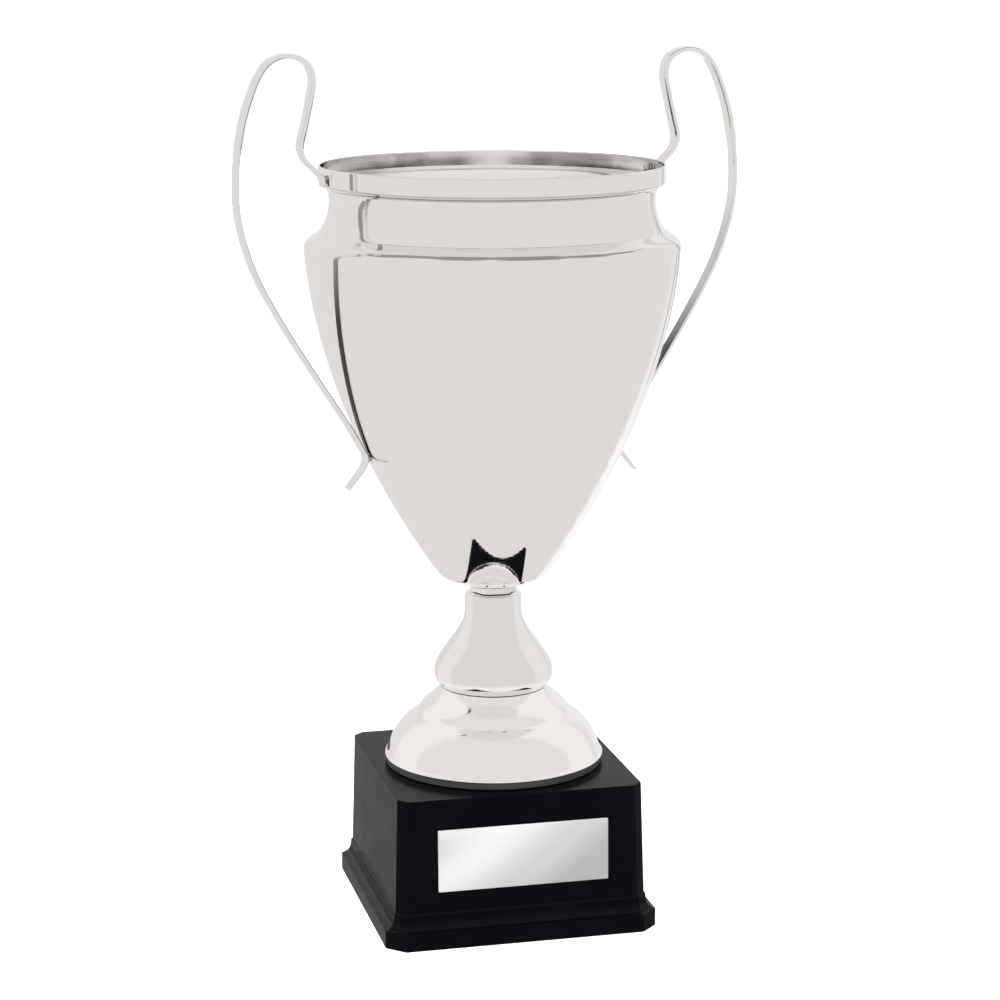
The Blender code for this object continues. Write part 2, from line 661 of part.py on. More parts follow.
def make_plate():
    """The engraving plate and the adhesive pad behind it, lying on the plinth's drafted front wall."""
    draft = math.atan2(BLOCK_BOTTOM_HALF - PLINTH_TOP_HALF, PLINTH_HEIGHT - BLOCK_BOTTOM_Z)
    wall_point = Vector((0, -plinth_half(PLATE_CENTRE_Z), PLATE_CENTRE_Z))
    wall = Matrix.Translation(wall_point) @ Matrix.Rotation(-draft, 4, 'X')
    pad_back = -LABEL_GAP
    pad_front = pad_back - PAD_THICKNESS
    plate_back = pad_front - LABEL_GAP
    plate_front = plate_back - PLATE_THICKNESS
    layers = (
        ("plate_adhesive", PAD_INSET, pad_back, pad_front, PAD_FOAM),
        ("engraving_plate", 0, plate_back, plate_front, PLATE_SILVER),
    )
    for name, inset, back, front, material in layers:
        half_width = PLATE_WIDTH / 2 - inset
        half_height = PLATE_HEIGHT / 2 - inset
        bm = bmesh.new()
        near_x = half_width - PLATE_CORNER
        near_z = half_height - PLATE_CORNER
        corners = (
            (-near_x, -half_height), (near_x, -half_height), (half_width, -near_z), (half_width, near_z),
            (near_x, half_height), (-near_x, half_height), (-half_width, near_z), (-half_width, -near_z),
        )
        skin = loft(bm, [[Vector((x, y, z)) for x, z in corners] for y in (front, back)])
        bm.faces.new(skin[0])
        bm.faces.new(skin[-1])
        layer = finish(name, bm, material)
        layer.matrix_local = wall


# ---- assembly ----------------------------------------------------------------------------------
for old in list(bpy.data.objects):
    bpy.data.objects.remove(old, do_unlink=True)

SILVER = (0.86, 0.845, 0.82)
BOWL_SILVER = principled("bowl_silver", SILVER, 1.0, 0.06)
STEM_SILVER = principled("stem_silver", SILVER, 1.0, 0.06)
FOOT_SILVER = principled("foot_silver", SILVER, 1.0, 0.06)
HANDLE_SILVER = principled("handle_silver", SILVER, 1.0, 0.08)
PLATE_SILVER = principled("plate_silver", (0.80, 0.80, 0.80), 1.0, 0.3)
STEEL = principled("zinc_steel", (0.62, 0.62, 0.60), 1.0, 0.35)
BLACK_MOULDING = principled("black_moulding", (0.012, 0.012, 0.015), 0.0, 0.22)
DISC_BLACK = principled("disc_black", (0.014, 0.014, 0.016), 0.0, 0.3)
CEMENT = principled("cement", (0.42, 0.41, 0.39), 0.0, 0.9)
BOARD = principled("fibre_board", (0.23, 0.13, 0.07), 0.0, 0.75)
FELT = principled("green_felt", (0.02, 0.09, 0.04), 0.0, 1.0)
PAD_FOAM = principled("adhesive_foam", (0.75, 0.75, 0.72), 0.0, 0.8)

HANDLE_SIDES = (("right", Matrix.Identity(4)), ("left", Matrix.Rotation(math.pi, 4, 'Z')))

cup_axis = bpy.data.objects.new("cup_axis", None)
cup_axis.rotation_euler = (0, 0, CUP_CLOCKING)
bpy.context.scene.collection.objects.link(cup_axis)

make_bowl(cup_axis)
for handle_side, handle_turn in HANDLE_SIDES:
    make_handle(handle_side, handle_turn, cup_axis)
    make_handle_screw(handle_side, "upper", handle_turn @ upper_seat(), cup_axis)
    make_handle_screw(handle_side, "lower", handle_turn @ lower_seat(), cup_axis)
make_tie_rod_set()
make_stem()
make_nut(
    "collar_nut", COLLAR_NUT_BOTTOM_Z, COLLAR_NUT_HEIGHT, COLLAR_NUT_FLATS,
    ROD_HOLE_RADIUS, COLLAR_NUT_CHAMFER, COLLAR_NUT_TURN, STEM_SILVER,
)
make_foot()
disc_bottom = PLINTH_HEIGHT + GAP
disc_top = disc_bottom + DISC_HEIGHT
ring("seat_disc", ROD_HOLE_RADIUS, DISC_RADIUS, disc_bottom, disc_top, FOOT_SEGMENTS, DISC_BLACK)
make_plinth()
make_plinth_filling()
make_plate()
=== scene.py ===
import math

import bmesh
import bpy
from mathutils import Matrix, Vector, noise


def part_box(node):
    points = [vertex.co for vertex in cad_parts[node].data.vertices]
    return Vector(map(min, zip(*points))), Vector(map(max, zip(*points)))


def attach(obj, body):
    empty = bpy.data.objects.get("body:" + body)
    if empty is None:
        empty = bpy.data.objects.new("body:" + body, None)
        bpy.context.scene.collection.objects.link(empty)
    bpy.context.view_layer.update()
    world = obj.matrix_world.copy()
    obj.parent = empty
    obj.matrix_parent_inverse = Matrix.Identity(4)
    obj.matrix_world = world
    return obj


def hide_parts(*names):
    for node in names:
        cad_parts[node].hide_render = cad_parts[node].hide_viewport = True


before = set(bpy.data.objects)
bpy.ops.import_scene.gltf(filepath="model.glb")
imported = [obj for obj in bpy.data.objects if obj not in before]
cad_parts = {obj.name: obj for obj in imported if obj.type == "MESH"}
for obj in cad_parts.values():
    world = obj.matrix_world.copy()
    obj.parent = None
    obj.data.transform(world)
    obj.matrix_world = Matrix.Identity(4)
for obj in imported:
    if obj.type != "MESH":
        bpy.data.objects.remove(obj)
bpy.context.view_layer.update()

# Looks of the two-handled presentation cup.  Every piece stands for one CAD node.  Outlines are given in
# millimetres; blocks, washers, nuts and the rod take their size from the frame's boxes.

MM = 0.001

# ---- dimensions shared by several pieces ----
TURNED_SEGMENTS = 256
DISC_SEGMENTS = 192
HARDWARE_SEGMENTS = 72
SCREW_SEGMENTS = 40
ROD_HOLE_RADIUS = 3.4 * MM
NUT_BORE_RADIUS = 3.1 * MM
COLLAR_NUT_FLATS = 17.0 * MM
COLLAR_NUT_TURN = math.radians(26.6)
THREAD_DEPTH = 0.5 * MM
THREAD_PITCH = 1.0 * MM
BOWL_WALL = 1.0 * MM
FOOT_WALL = 1.0 * MM
TURNED_EDGE = 0.3 * MM
STEM_WALL = 1.3 * MM
SCREW_RADIUS = 1.25 * MM
SCREW_HOLE_RADIUS = 1.6 * MM
SCREW_HEAD_RADIUS = 1.9 * MM
SCREW_HEAD_HEIGHT = 1.5 * MM
SCREW_SLOT_WIDTH = 0.5 * MM
SCREW_BITE = 1.0 * MM
SCREW_WASHER_RADIUS = 2.4 * MM
SCREW_WASHER_HEIGHT = 0.5 * MM
GAP = 0.3 * MM
UPPER_SCREW_Z = 302.7 * MM
LOWER_SCREW_Z = 191.0 * MM
STRIP_WIDTH = 6.6 * MM
STRIP_THICKNESS = 1.9 * MM
TAIL_WIDTH = 6.2 * MM
TAIL_THICKNESS = 1.2 * MM
TAIL_LENGTH = 16.0 * MM
HEAD_THICKNESS = 1.1 * MM
HEAD_LENGTH = 3.0 * MM
STRIP_END_EASING = 0.25 * MM
PLINTH_TOP_HALF = 50.3 * MM
PLINTH_TOP_CLIP = 3.8 * MM
BLOCK_BOTTOM_HALF = 51.6 * MM
BLOCK_BOTTOM_CLIP = 4.2 * MM
BLOCK_BOTTOM_Z = 13.4 * MM
BASE_BAND_CLIP = 6.9 * MM
BASE_BAND_Z = 7.1 * MM
INSIDE_CLIP = 5.6 * MM
PLATE_HEIGHT = 25.4 * MM
PLATE_THICKNESS = 0.8 * MM
PAD_THICKNESS = 0.3 * MM
LABEL_GAP = 0.1 * MM
WELD_DISTANCE = 0.001 * MM

BOWL_LOW, BOWL_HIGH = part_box("bowl")
FOOT_BOTTOM_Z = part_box("foot")[0].z
DISC_BOTTOM_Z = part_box("seat_disc")[0].z
PLINTH_LOW, PLINTH_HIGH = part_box("plinth")
PLATE_LOW, PLATE_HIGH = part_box("engraving_plate")
ROD_LOW, ROD_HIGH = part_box("tie_rod")
HANDLE_LOW, HANDLE_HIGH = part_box("handle_right")
PLATE_CENTRE_Z = (PLATE_LOW.z + PLATE_HIGH.z) / 2
PLATE_DRAFT = math.atan2(BLOCK_BOTTOM_HALF - PLINTH_TOP_HALF, PLINTH_HIGH.z - BLOCK_BOTTOM_Z)
CLOCKING = math.atan2(HANDLE_LOW.y + HANDLE_HIGH.y, HANDLE_LOW.x + HANDLE_HIGH.x)
CUP_TURN = Matrix.Rotation(CLOCKING, 4, 'Z')
HANDLE_TURNS = {"right": Matrix.Identity(4), "left": Matrix.Rotation(math.pi, 4, 'Z')}


# ---- outlines ----
def mm(*points):
    """Points given in millimetres, as (radius, height) pairs in metres."""
    return [Vector((r * MM, z * MM)) for r, z in points]


def vectors(*points):
    return [Vector(p) for p in points]


def bezier(p0, p1, p2, p3, steps):
    """Points along one cubic curve, without its first point."""
    out = []
    for i in range(1, steps + 1):
        t = i / steps
        s = 1 - t
        out.append(s**3 * p0 + 3 * s * s * t * p1 + 3 * s * t * t * p2 + t**3 * p3)
    return out


def arc(centre, radius, start, stop, steps):
    """Points on an arc, both ends included, with angles in degrees from +radius towards +height."""
    out = []
    for i in range(steps + 1):
        a = math.radians(start + (stop - start) * i / steps)
        out.append(centre + radius * Vector((math.cos(a), math.sin(a))))
    return out


def through(knots, steps):
    """Points on a smooth curve that passes through every knot."""
    first = 2 * knots[0] - knots[1]
    last = 2 * knots[-1] - knots[-2]
    padded = [first, *knots, last]
    out = [knots[0]]
    for a, b, c, d in zip(padded, padded[1:], padded[2:], padded[3:]):
        out += bezier(b, b + (c - a) / 6, c - (d - b) / 6, c, steps)
    return out


def course(points, i):
    """The direction in which a line of points runs at one of them."""
    return (points[min(i + 1, len(points) - 1)] - points[max(i - 1, 0)]).normalized()


def right_of(direction):
    return Vector((direction.y, -direction.x))


def inward(points, wall):
    """The outline moved by one wall thickness to the right of its direction, without fold-backs."""
    out = []
    kept = None
    for i, p in enumerate(points):
        moved = p + wall * right_of(course(points, i))
        if kept is None or (moved - out[-1]).dot(p - kept) > 0:
            out.append(moved)
            kept = p
    return out


def eased(points, radius, closed=False, longest=1.5 * MM, steps=4):
    """The outline with its sharp corners rounded and its straights cut up, which keeps flats flat."""
    least_turn = math.radians(12)
    most_of_side = 0.45
    count = len(points)
    rounded = []
    for i, p in enumerate(points):
        if not closed and i in (0, count - 1):
            rounded.append(p)
            continue
        back = points[i - 1] - p
        ahead = points[(i + 1) % count] - p
        if math.pi - back.angle(ahead) < least_turn:
            rounded.append(p)
            continue
        reach = min(radius, most_of_side * back.length, most_of_side * ahead.length)
        start = p + back.normalized() * reach
        stop = p + ahead.normalized() * reach
        for k in range(steps + 1):
            t = k / steps
            rounded.append((1 - t) ** 2 * start + 2 * t * (1 - t) * p + t * t * stop)
    return cut_up(rounded, closed, longest)


def cut_up(points, closed, longest):
    """Extra points along each straight, with one close to each end of it."""
    margin = 0.12 * MM
    out = []
    pairs = list(zip(points, points[1:]))
    if closed:
        pairs.append((points[-1], points[0]))
    for a, b in pairs:
        out.append(a)
        length = (b - a).length
        if length > 4 * margin:
            out.append(a.lerp(b, margin / length))
            parts = max(1, math.ceil(length / longest))
            out += [a.lerp(b, k / parts) for k in range(1, parts)]
            out.append(a.lerp(b, 1 - margin / length))
    if not closed:
        out.append(points[-1])
    return out


def bowl_outline():
    """Outer side of the bowl from the lip down to the edge of its flat bottom."""
    lip_top, band_bottom, band_corner = mm((69.4, 306.3), (69.4, 300.0), (69.0, 299.3))
    painted_groove_shade, neck_top, neck_pull = mm((66.9, 298.3), (66.2, 297.3), (63.4, 290.0))
    neck_push, neck_end = mm((68.5, 281.3), (69.2, 280.7))
    turn_pull, turn_push, shoulder = mm((72.6, 278.2), (75.7, 277.3), (75.6, 273.4))
    body_pull, body_push, body_end = mm((70.8, 209.0), (31.6, 151.6), (22.5, 139.9))
    base_pull, base_push, base_end = mm((18.1, 136.4), (14.8, 135.9), (12.0, 135.9))
    points = [lip_top, band_bottom, band_corner, painted_groove_shade, neck_top]
    points += bezier(neck_top, neck_pull, neck_push, neck_end, 20)
    points += bezier(neck_end, turn_pull, turn_push, shoulder, 14)
    points += bezier(shoulder, body_pull, body_push, body_end, 70)
    points += bezier(body_end, base_pull, base_push, base_end, 12)
    return points


def stem_outline():
    """Outer side of the stem from its top edge down to where it stands on the foot."""
    knots = mm(
        (10.2, 132.0), (11.3, 131.5), (11.8, 129.9), (11.8, 127.0), (12.4, 121.0), (15.5, 114.9),
        (19.9, 108.8), (23.4, 103.2), (24.6, 98.5), (24.0, 95.0), (22.2, 92.9),
    )
    return through(knots, 9)


def foot_side():
    """Outer side of the foot from its flat top down over the small tier and the dome."""
    top_edge, tier_pull, tier_push, tier_end = mm((22.0, 92.6), (24.0, 88.4), (30.2, 86.1), (31.0, 82.7))
    notch, dome_start = mm((31.5, 82.0), (32.3, 81.3))
    dome_pull, dome_push, dome_end = mm((36.1, 79.5), (40.9, 74.8), (43.1, 68.5))
    points = [top_edge]
    points += bezier(top_edge, tier_pull, tier_push, tier_end, 22)
    points += [notch, dome_start]
    points += bezier(dome_start, dome_pull, dome_push, dome_end, 30)
    return points


def foot_edge(dome_end):
    """The foot's edge, turned outwards from the bottom of the dome."""
    fillet_pull, fillet_push, fillet_end = mm((43.6, 67.0), (43.8, 65.2), (44.5, 64.6))
    return bezier(dome_end, fillet_pull, fillet_push, fillet_end, 8) + mm((44.9, 64.3), (45.2, 63.8))


def handle_line():
    """Centre line of one handle strip, from the rim band over the top and down to its free tail."""
    knots = mm(
        (70.4, 299.6), (70.8, 301.8), (71.4, 303.7), (74.4, 306.9), (78.0, 310.5), (79.5, 315.6),
        (77.7, 323.5), (75.4, 333.5), (74.2, 341.5), (76.4, 347.4), (82.0, 350.3), (88.2, 349.9),
        (93.6, 346.2), (98.2, 338.0), (103.0, 323.0), (105.5, 304.0), (104.5, 286.0), (98.6, 266.6),
        (88.4, 247.2), (76.2, 227.4), (63.1, 207.1), (55.9, 194.5), (54.5, 191.3), (55.0, 188.5),
        (57.3, 185.0), (62.3, 178.8),
    )
    return through(knots, 8)


# ---- mesh helpers ----
def new_object(name, data):
    """An object in the scene."""
    obj = bpy.data.objects.new(name, data)
    bpy.context.scene.collection.objects.link(obj)
    return obj


def plain_object(name, bm, turn=None):
    """A bmesh as an object with outward faces, without a material."""
    bmesh.ops.recalc_face_normals(bm, faces=bm.faces)
    if turn is not None:
        bmesh.ops.transform(bm, matrix=turn, verts=bm.verts)
    mesh = bpy.data.meshes.new(name)
    bm.to_mesh(mesh)
    bm.free()
    return new_object(name, mesh)


def piece(node, bm, material, turn=None, cutters=()):
    """A bmesh as the piece that stands for a CAD node, with its holes cut."""
    obj = plain_object(node + "_finished", bm, turn)
    if cutters:
        cut(obj, cutters)
    obj.data.materials.append(material)
    obj.data.shade_smooth()
    obj.data.set_sharp_from_angle(angle=math.radians(40))
    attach(obj, "root")
    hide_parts(node)


def cut(obj, cutters):
    """Subtract the cutters from the object for good, and delete them."""
    for cutter in cutters:
        boolean = obj.modifiers.new(cutter.name, 'BOOLEAN')
        boolean.operation = 'DIFFERENCE'
        boolean.solver = 'EXACT'
        boolean.object = cutter
    evaluated = obj.evaluated_get(bpy.context.evaluated_depsgraph_get())
    mesh = bpy.data.meshes.new_from_object(evaluated)
    obj.modifiers.clear()
    obj.data = mesh
    for cutter in cutters:
        bpy.data.objects.remove(cutter)


def skin(rings, across=True, along=False):
    """A bmesh of quads between rings of equal length.

    Each ring is closed if across.  The row of rings is closed if along, and else gets a face at both ends.
    """
    bm = bmesh.new()
    levels = [[bm.verts.new(p) for p in ring] for ring in rings]
    pairs = list(zip(levels, levels[1:]))
    if along:
        pairs.append((levels[-1], levels[0]))
    for low, high in pairs:
        for i in range(len(low) if across else len(low) - 1):
            j = (i + 1) % len(low)
            bm.faces.new((low[i], low[j], high[j], high[i]))
    if not along:
        bm.faces.new(levels[0])
        bm.faces.new(levels[-1])
    return bm


def swung(radius, height, angle):
    """A (radius, height) point at an angle round the axis."""
    return Vector((radius * math.cos(angle), radius * math.sin(angle), height))


def turned(outline, segments, closed=True):
    """A bmesh of an outline turned about Z; an open outline starts and ends on the axis."""
    rings = []
    for i in range(segments):
        a = math.tau * i / segments
        rings.append([swung(p.x, p.y, a) for p in outline])
    bm = skin(rings, across=closed, along=True)
    bmesh.ops.remove_doubles(bm, verts=bm.verts, dist=WELD_DISTANCE)
    return bm


def ring_outline(inner, outer, bottom, top, edge):
    """The section of a flat ring with eased edges."""
    corners = vectors((inner, bottom), (outer, bottom), (outer, top), (inner, top))
    return eased(corners, edge, closed=True)


def clipped_ring(half, clip, height, edge):
    """A square with clipped, eased corners at a height."""
    near = half - clip
    corners = []
    for quarter in range(4):
        turn = Matrix.Rotation(quarter * math.pi / 2, 2)
        corners += [turn @ corner for corner in vectors((half, -near), (half, near))]
    return [Vector((p.x, p.y, height)) for p in eased(corners, edge, closed=True, longest=1)]


def round_ring(like, radius, height):
    """A circle with one point below each point of another ring."""
    out = []
    for p in like:
        flat = Vector((p.x, p.y, 0)).normalized() * radius
        out.append(Vector((flat.x, flat.y, height)))
    return out


# ---- node helpers ----
def grey(tone):
    """A colour of one tone."""
    return (tone, tone, tone)


class Nodes:
    """Short ways to add nodes to a tree; an input is a plain value or another node's output."""

    def __init__(self, tree):
        self.tree = tree

    def put(self, node, socket, value):
        """Set an input to a plain value, or link another node's output to it."""
        if isinstance(value, bpy.types.NodeSocket):
            self.tree.links.new(value, node.inputs[socket])
        else:
            node.inputs[socket].default_value = value

    def node(self, kind, *inputs, **settings):
        """A new node with its settings and its first inputs."""
        made = self.tree.nodes.new("ShaderNode" + kind)
        for key, value in settings.items():
            setattr(made, key, value)
        for i, value in enumerate(inputs):
            self.put(made, i, value)
        return made

    def math(self, operation, *inputs):
        return self.node("Math", *inputs, operation=operation).outputs[0]

    def times(self, first, second):
        return self.math('MULTIPLY', first, second)

    def sum(self, first, second, share=1.0):
        """first plus a share of second."""
        return self.math('MULTIPLY_ADD', second, share, first)

    def vector(self, operation, *inputs):
        """A vector, or the number that a dot product or a length gives."""
        made = self.node("VectorMath", *inputs, operation=operation)
        return made.outputs["Value" if operation in ('DOT_PRODUCT', 'LENGTH') else "Vector"]

    def along(self, direction, axis):
        """The direction's component along an axis."""
        return self.vector('DOT_PRODUCT', direction, axis)

    def level(self, direction):
        """The direction without its upward part."""
        return self.vector('MULTIPLY', direction, (1, 1, 0))

    def between(self, source, start, stop, low=0, high=1):
        """The source's range from start to stop, spread over low to high."""
        return self.node("MapRange", source, start, stop, low, high).outputs[0]

    def step(self, source, start, stop):
        """A soft step from 0 to 1."""
        return self.node("MapRange", source, start, stop, interpolation_type='SMOOTHSTEP').outputs[0]

    def blend(self, share, first, second):
        """A colour between two others, by a share from 0 to 1."""
        mix = self.node("Mix", share, data_type='RGBA')
        for socket, colour in ((6, first), (7, second)):
            self.put(mix, socket, (*colour, 1) if isinstance(colour, tuple) else colour)
        return mix.outputs[2]


class Look(Nodes):
    """A material grown from one Principled BSDF, with helpers for the patterns that drive it."""

    def __init__(self, name, metallic=0.0):
        self.material = bpy.data.materials.new(name)
        self.material.use_nodes = True
        super().__init__(self.material.node_tree)
        self.shader = self.tree.nodes["Principled BSDF"]
        self.place = self.node("TexCoord").outputs["Object"]
        self.drive("Metallic", metallic)

    def drive(self, socket, value):
        self.put(self.shader, socket, value)

    def coordinate(self, axis):
        return self.node("SeparateXYZ", self.place).outputs[axis]

    def outwards(self):
        """The level direction from the axis to the place."""
        return self.vector('NORMALIZE', self.level(self.place))

    def facing_out(self):
        """1 where the surface faces away from the axis, down to -1 where it faces the axis."""
        return self.along(self.outwards(), self.node("TexCoord").outputs["Normal"])

    def noise(self, scale, detail=3.0, roughness=0.55):
        """Noise at one scale, or at a scale for each axis."""
        place = self.place
        if isinstance(scale, tuple):
            place = self.vector('MULTIPLY', place, scale)
            scale = 1.0
        texture = self.node("TexNoise", place)
        self.put(texture, "Scale", scale)
        self.put(texture, "Detail", detail)
        self.put(texture, "Roughness", roughness)
        return texture.outputs[0]

    def cells(self, scale):
        """The distance to the nearest of many scattered points."""
        texture = self.node("TexVoronoi", self.place)
        self.put(texture, "Scale", scale)
        return texture.outputs["Distance"]

    def finished(self, colour, roughness, height, depth):
        """The material, with its colour and roughness driven and with relief of a depth in metres."""
        self.drive("Base Color", colour)
        self.drive("Roughness", roughness)
        relief = self.node("Bump")
        self.put(relief, "Height", height)
        self.put(relief, "Distance", depth)
        self.put(relief, "Strength", 1.0)
        self.drive("Normal", relief.outputs[0])
        return self.material


# ---- silver ----
WARM_SILVER = (0.940, 0.925, 0.912)
COOL_SILVER = (0.922, 0.906, 0.890)
STRIP_HAIRLINES = (420, 420, 30)
TURNED_HAIRLINES = (6, 6, 900)
POLISH_RIPPLE_DEPTH = 0.012 * MM
# how a strip's and the bowl's inner faces are told from the rest, by how they face the axis
STRIP_INNER_FACE = (-0.35, -0.65)
BOWL_INNER_FACE = (-0.3, -0.6)
# painted dark reflection on the handle strips' inner faces, with a weaker share of it higher up
STRIP_DARK_REFLECTION = (0.085, 0.083, 0.080)
STRIP_REFLECTION_FROM = {"left": 298 * MM, "right": 254 * MM}
STRIP_REFLECTION_TO = {"left": 242 * MM, "right": 229 * MM}
STRIP_REFLECTION_END = 190 * MM
STRIP_REFLECTION_FADE = 4 * MM
DIM_REFLECTION_FROM = 292 * MM
DIM_REFLECTION_TO = 272 * MM
DIM_REFLECTION_SHARE = 0.3
# painted shade under the rim band, in the groove and on the band's lower edge
GROOVE_PAINTED_SHADE = (0.40, 0.385, 0.365)
GROOVE_LOW = 297.9 * MM
GROOVE_HIGH = 299.6 * MM
GROOVE_FADE = 0.5 * MM
# radii between which the painted shade fades in, on the neck and on the rim band's edge
GROOVE_ON_NECK = (67.2 * MM, 66.9 * MM)
GROOVE_ON_EDGE = (68.8 * MM, 69.0 * MM)
INSIDE_SILVER = (0.985, 0.975, 0.965)
# painted dark reflection inside the rim
INSIDE_DARK_REFLECTION = (0.58, 0.57, 0.56)
INSIDE_HAZE = 0.05
# the level direction from left to right in the photo
ACROSS = Vector((math.cos(math.radians(13.5)), -math.sin(math.radians(13.5)), 0))
# painted dark reflections inside the rim: two places from its left side at -1 to its right side at 1, and two
# shares
STREAKS_LEFT = (-0.5, -0.75, 0, 0.9)
STREAKS_RIGHT = (0.3, 0.6, 0, 0.75)
DARK_REFLECTION_FAR_LEFT = (-0.62, -0.78, 0, 0.6)
DARK_REFLECTION_FAR_RIGHT = (0.95, 0.97, 0, 1)
STREAK_BANDS = (9, 9, 420)


def strip_painted_reflection(look):
    """1 on a strip's inner face low down, where a dark reflection is painted into the silver, else 0."""
    inner = look.between(look.facing_out(), *STRIP_INNER_FACE)
    height = look.coordinate("Z")
    dim_reflection = look.between(height, DIM_REFLECTION_FROM, DIM_REFLECTION_TO, 0, DIM_REFLECTION_SHARE)
    low = {}
    for side in HANDLE_TURNS:
        dark = look.between(height, STRIP_REFLECTION_FROM[side], STRIP_REFLECTION_TO[side])
        low[side] = look.sum(dim_reflection, dark, 1 - DIM_REFLECTION_SHARE)
    which = look.node("Mix", look.between(look.coordinate("X"), -MM, MM), data_type='FLOAT')
    look.put(which, 2, low["left"])
    look.put(which, 3, low["right"])
    above_tail = look.between(height, STRIP_REFLECTION_END - STRIP_REFLECTION_FADE, STRIP_REFLECTION_END)
    return look.times(look.times(inner, which.outputs[0]), above_tail)


def painted_groove_shade(look):
    """1 where shade is painted under the bowl's rim band, on the band's edge and on the neck, else 0."""
    height = look.coordinate("Z")
    over = look.between(height, GROOVE_LOW - GROOVE_FADE, GROOVE_LOW + GROOVE_FADE)
    under = look.between(height, GROOVE_HIGH + GROOVE_FADE, GROOVE_HIGH - GROOVE_FADE)
    radius = look.vector('LENGTH', look.level(look.place))
    on_neck = look.between(radius, *GROOVE_ON_NECK)
    on_edge = look.between(radius, *GROOVE_ON_EDGE)
    return look.times(look.times(over, under), look.sum(on_neck, on_edge))


def inner_reflection_streaks(look):
    """Painted dark reflections in streaks that run round the inside of the rim, at the bowl's two sides, from
    0 to 1.
    """
    sideways = look.along(look.outwards(), ACROSS)
    bands = look.between(look.noise(STREAK_BANDS), 0.4, 0.6, 0.1, 1)
    sides = look.sum(look.between(sideways, *STREAKS_LEFT), look.between(sideways, *STREAKS_RIGHT))
    streaks = look.sum(look.times(sides, bands), look.between(sideways, *DARK_REFLECTION_FAR_LEFT))
    return look.sum(streaks, look.between(sideways, *DARK_REFLECTION_FAR_RIGHT))


def silver(name, kind, tone=1.0):
    """Polished silver plate: faint hand-polish ripple, hairlines round turned work, slight lustre patches."""
    look = Look(name, metallic=1.0)
    patches = look.noise(26, detail=4)
    # tone makes a lighter or darker copy of the silver, which paints light on the foot and shade on the stem
    warm, cool = (tuple(tone * c for c in colour) for colour in (WARM_SILVER, COOL_SILVER))
    colour = look.blend(patches, warm, cool)
    hairlines = look.noise(STRIP_HAIRLINES if kind == "strip" else TURNED_HAIRLINES, detail=2)
    roughness = look.sum(look.between(patches, 0.35, 0.7, 0.02, 0.05), hairlines, 0.02)
    if kind == "strip":
        # painted dark reflection on the strips' inner faces
        colour = look.blend(strip_painted_reflection(look), colour, STRIP_DARK_REFLECTION)
    if kind == "bowl":
        within = look.between(look.facing_out(), *BOWL_INNER_FACE)
        seen_directly = look.node("LightPath").outputs["Is Camera Ray"]
        # painted shade under the rim band, on camera rays only
        colour = look.blend(look.times(painted_groove_shade(look), seen_directly), colour, GROOVE_PAINTED_SHADE)
        colour = look.blend(within, colour, INSIDE_SILVER)
        # painted dark reflections in streaks inside the rim
        colour = look.blend(look.times(within, inner_reflection_streaks(look)), colour, INSIDE_DARK_REFLECTION)
        roughness = look.sum(roughness, within, INSIDE_HAZE)
    ripple = look.noise(55, detail=1.5)
    return look.finished(colour, roughness, look.sum(ripple, hairlines, 0.04), POLISH_RIPPLE_DEPTH)


# ---- other materials ----
SHEEN_SLANT = 1.25
SHEEN_REACH = 50 * MM
SHEEN_ENDS = (0.72, 0.55)
SHEEN_STOPS = ((0.3, 0.98), (0.62, 0.72), (0.82, 0.55))


def satin_plate():
    """Satin engraving plate: a smooth diagonal sheen painted into its colour, under a barely visible grain.
    """
    look = Look("plate_satin", metallic=0.45)
    # painted sheen: a diagonal band of lighter colour across the plate
    slant = look.sum(look.coordinate("X"), look.coordinate("Z"), -SHEEN_SLANT)
    from_middle = look.math('ADD', slant, SHEEN_SLANT * PLATE_CENTRE_Z)
    sheen = look.node("ValToRGB", look.between(from_middle, -SHEEN_REACH, SHEEN_REACH))
    sheen.color_ramp.interpolation = 'EASE'
    stops = sheen.color_ramp.elements
    for stop, tone in zip(stops, SHEEN_ENDS):
        stop.color = (*grey(tone), 1)
    for place, tone in SHEEN_STOPS:
        stops.new(place).color = (*grey(tone), 1)
    grain = look.noise((60, 1, 2600), detail=2)
    colour = look.blend(look.between(grain, 0.3, 0.7, 0, 0.03), sheen.outputs[0], grey(0.6))
    return look.finished(colour, look.between(grain, 0.3, 0.7, 0.32, 0.38), grain, 0.0006 * MM)


def black_moulding(name, base, roughness, fresnel_index):
    """Injection-moulded black plastic: very fine grain, soft flow marks and faint handling haze."""
    look = Look(name)
    look.drive("IOR", fresnel_index)
    haze = look.noise(38, detail=4)
    flow = look.noise((14, 14, 60), detail=2)
    hazed = look.between(look.sum(haze, flow, 0.4), 0.4, 1.0, roughness - 0.05, roughness + 0.09)
    lighter = tuple(1.5 * c + 0.0012 for c in base)
    grain = look.noise(2600, detail=1)
    return look.finished(look.blend(haze, base, lighter), hazed, look.sum(grain, flow, 0.8), 0.003 * MM)


def zinc_steel():
    """Zinc-plated steel: cool grey with faint straw and blue passivation, finely tumbled."""
    look = Look("zinc_steel", metallic=1.0)
    bloom = look.blend(look.noise(240), (0.60, 0.62, 0.66), (0.68, 0.65, 0.56))
    tumble = look.noise(3200, detail=2)
    return look.finished(bloom, look.between(tumble, 0.3, 0.7, 0.22, 0.42), tumble, 0.01 * MM)


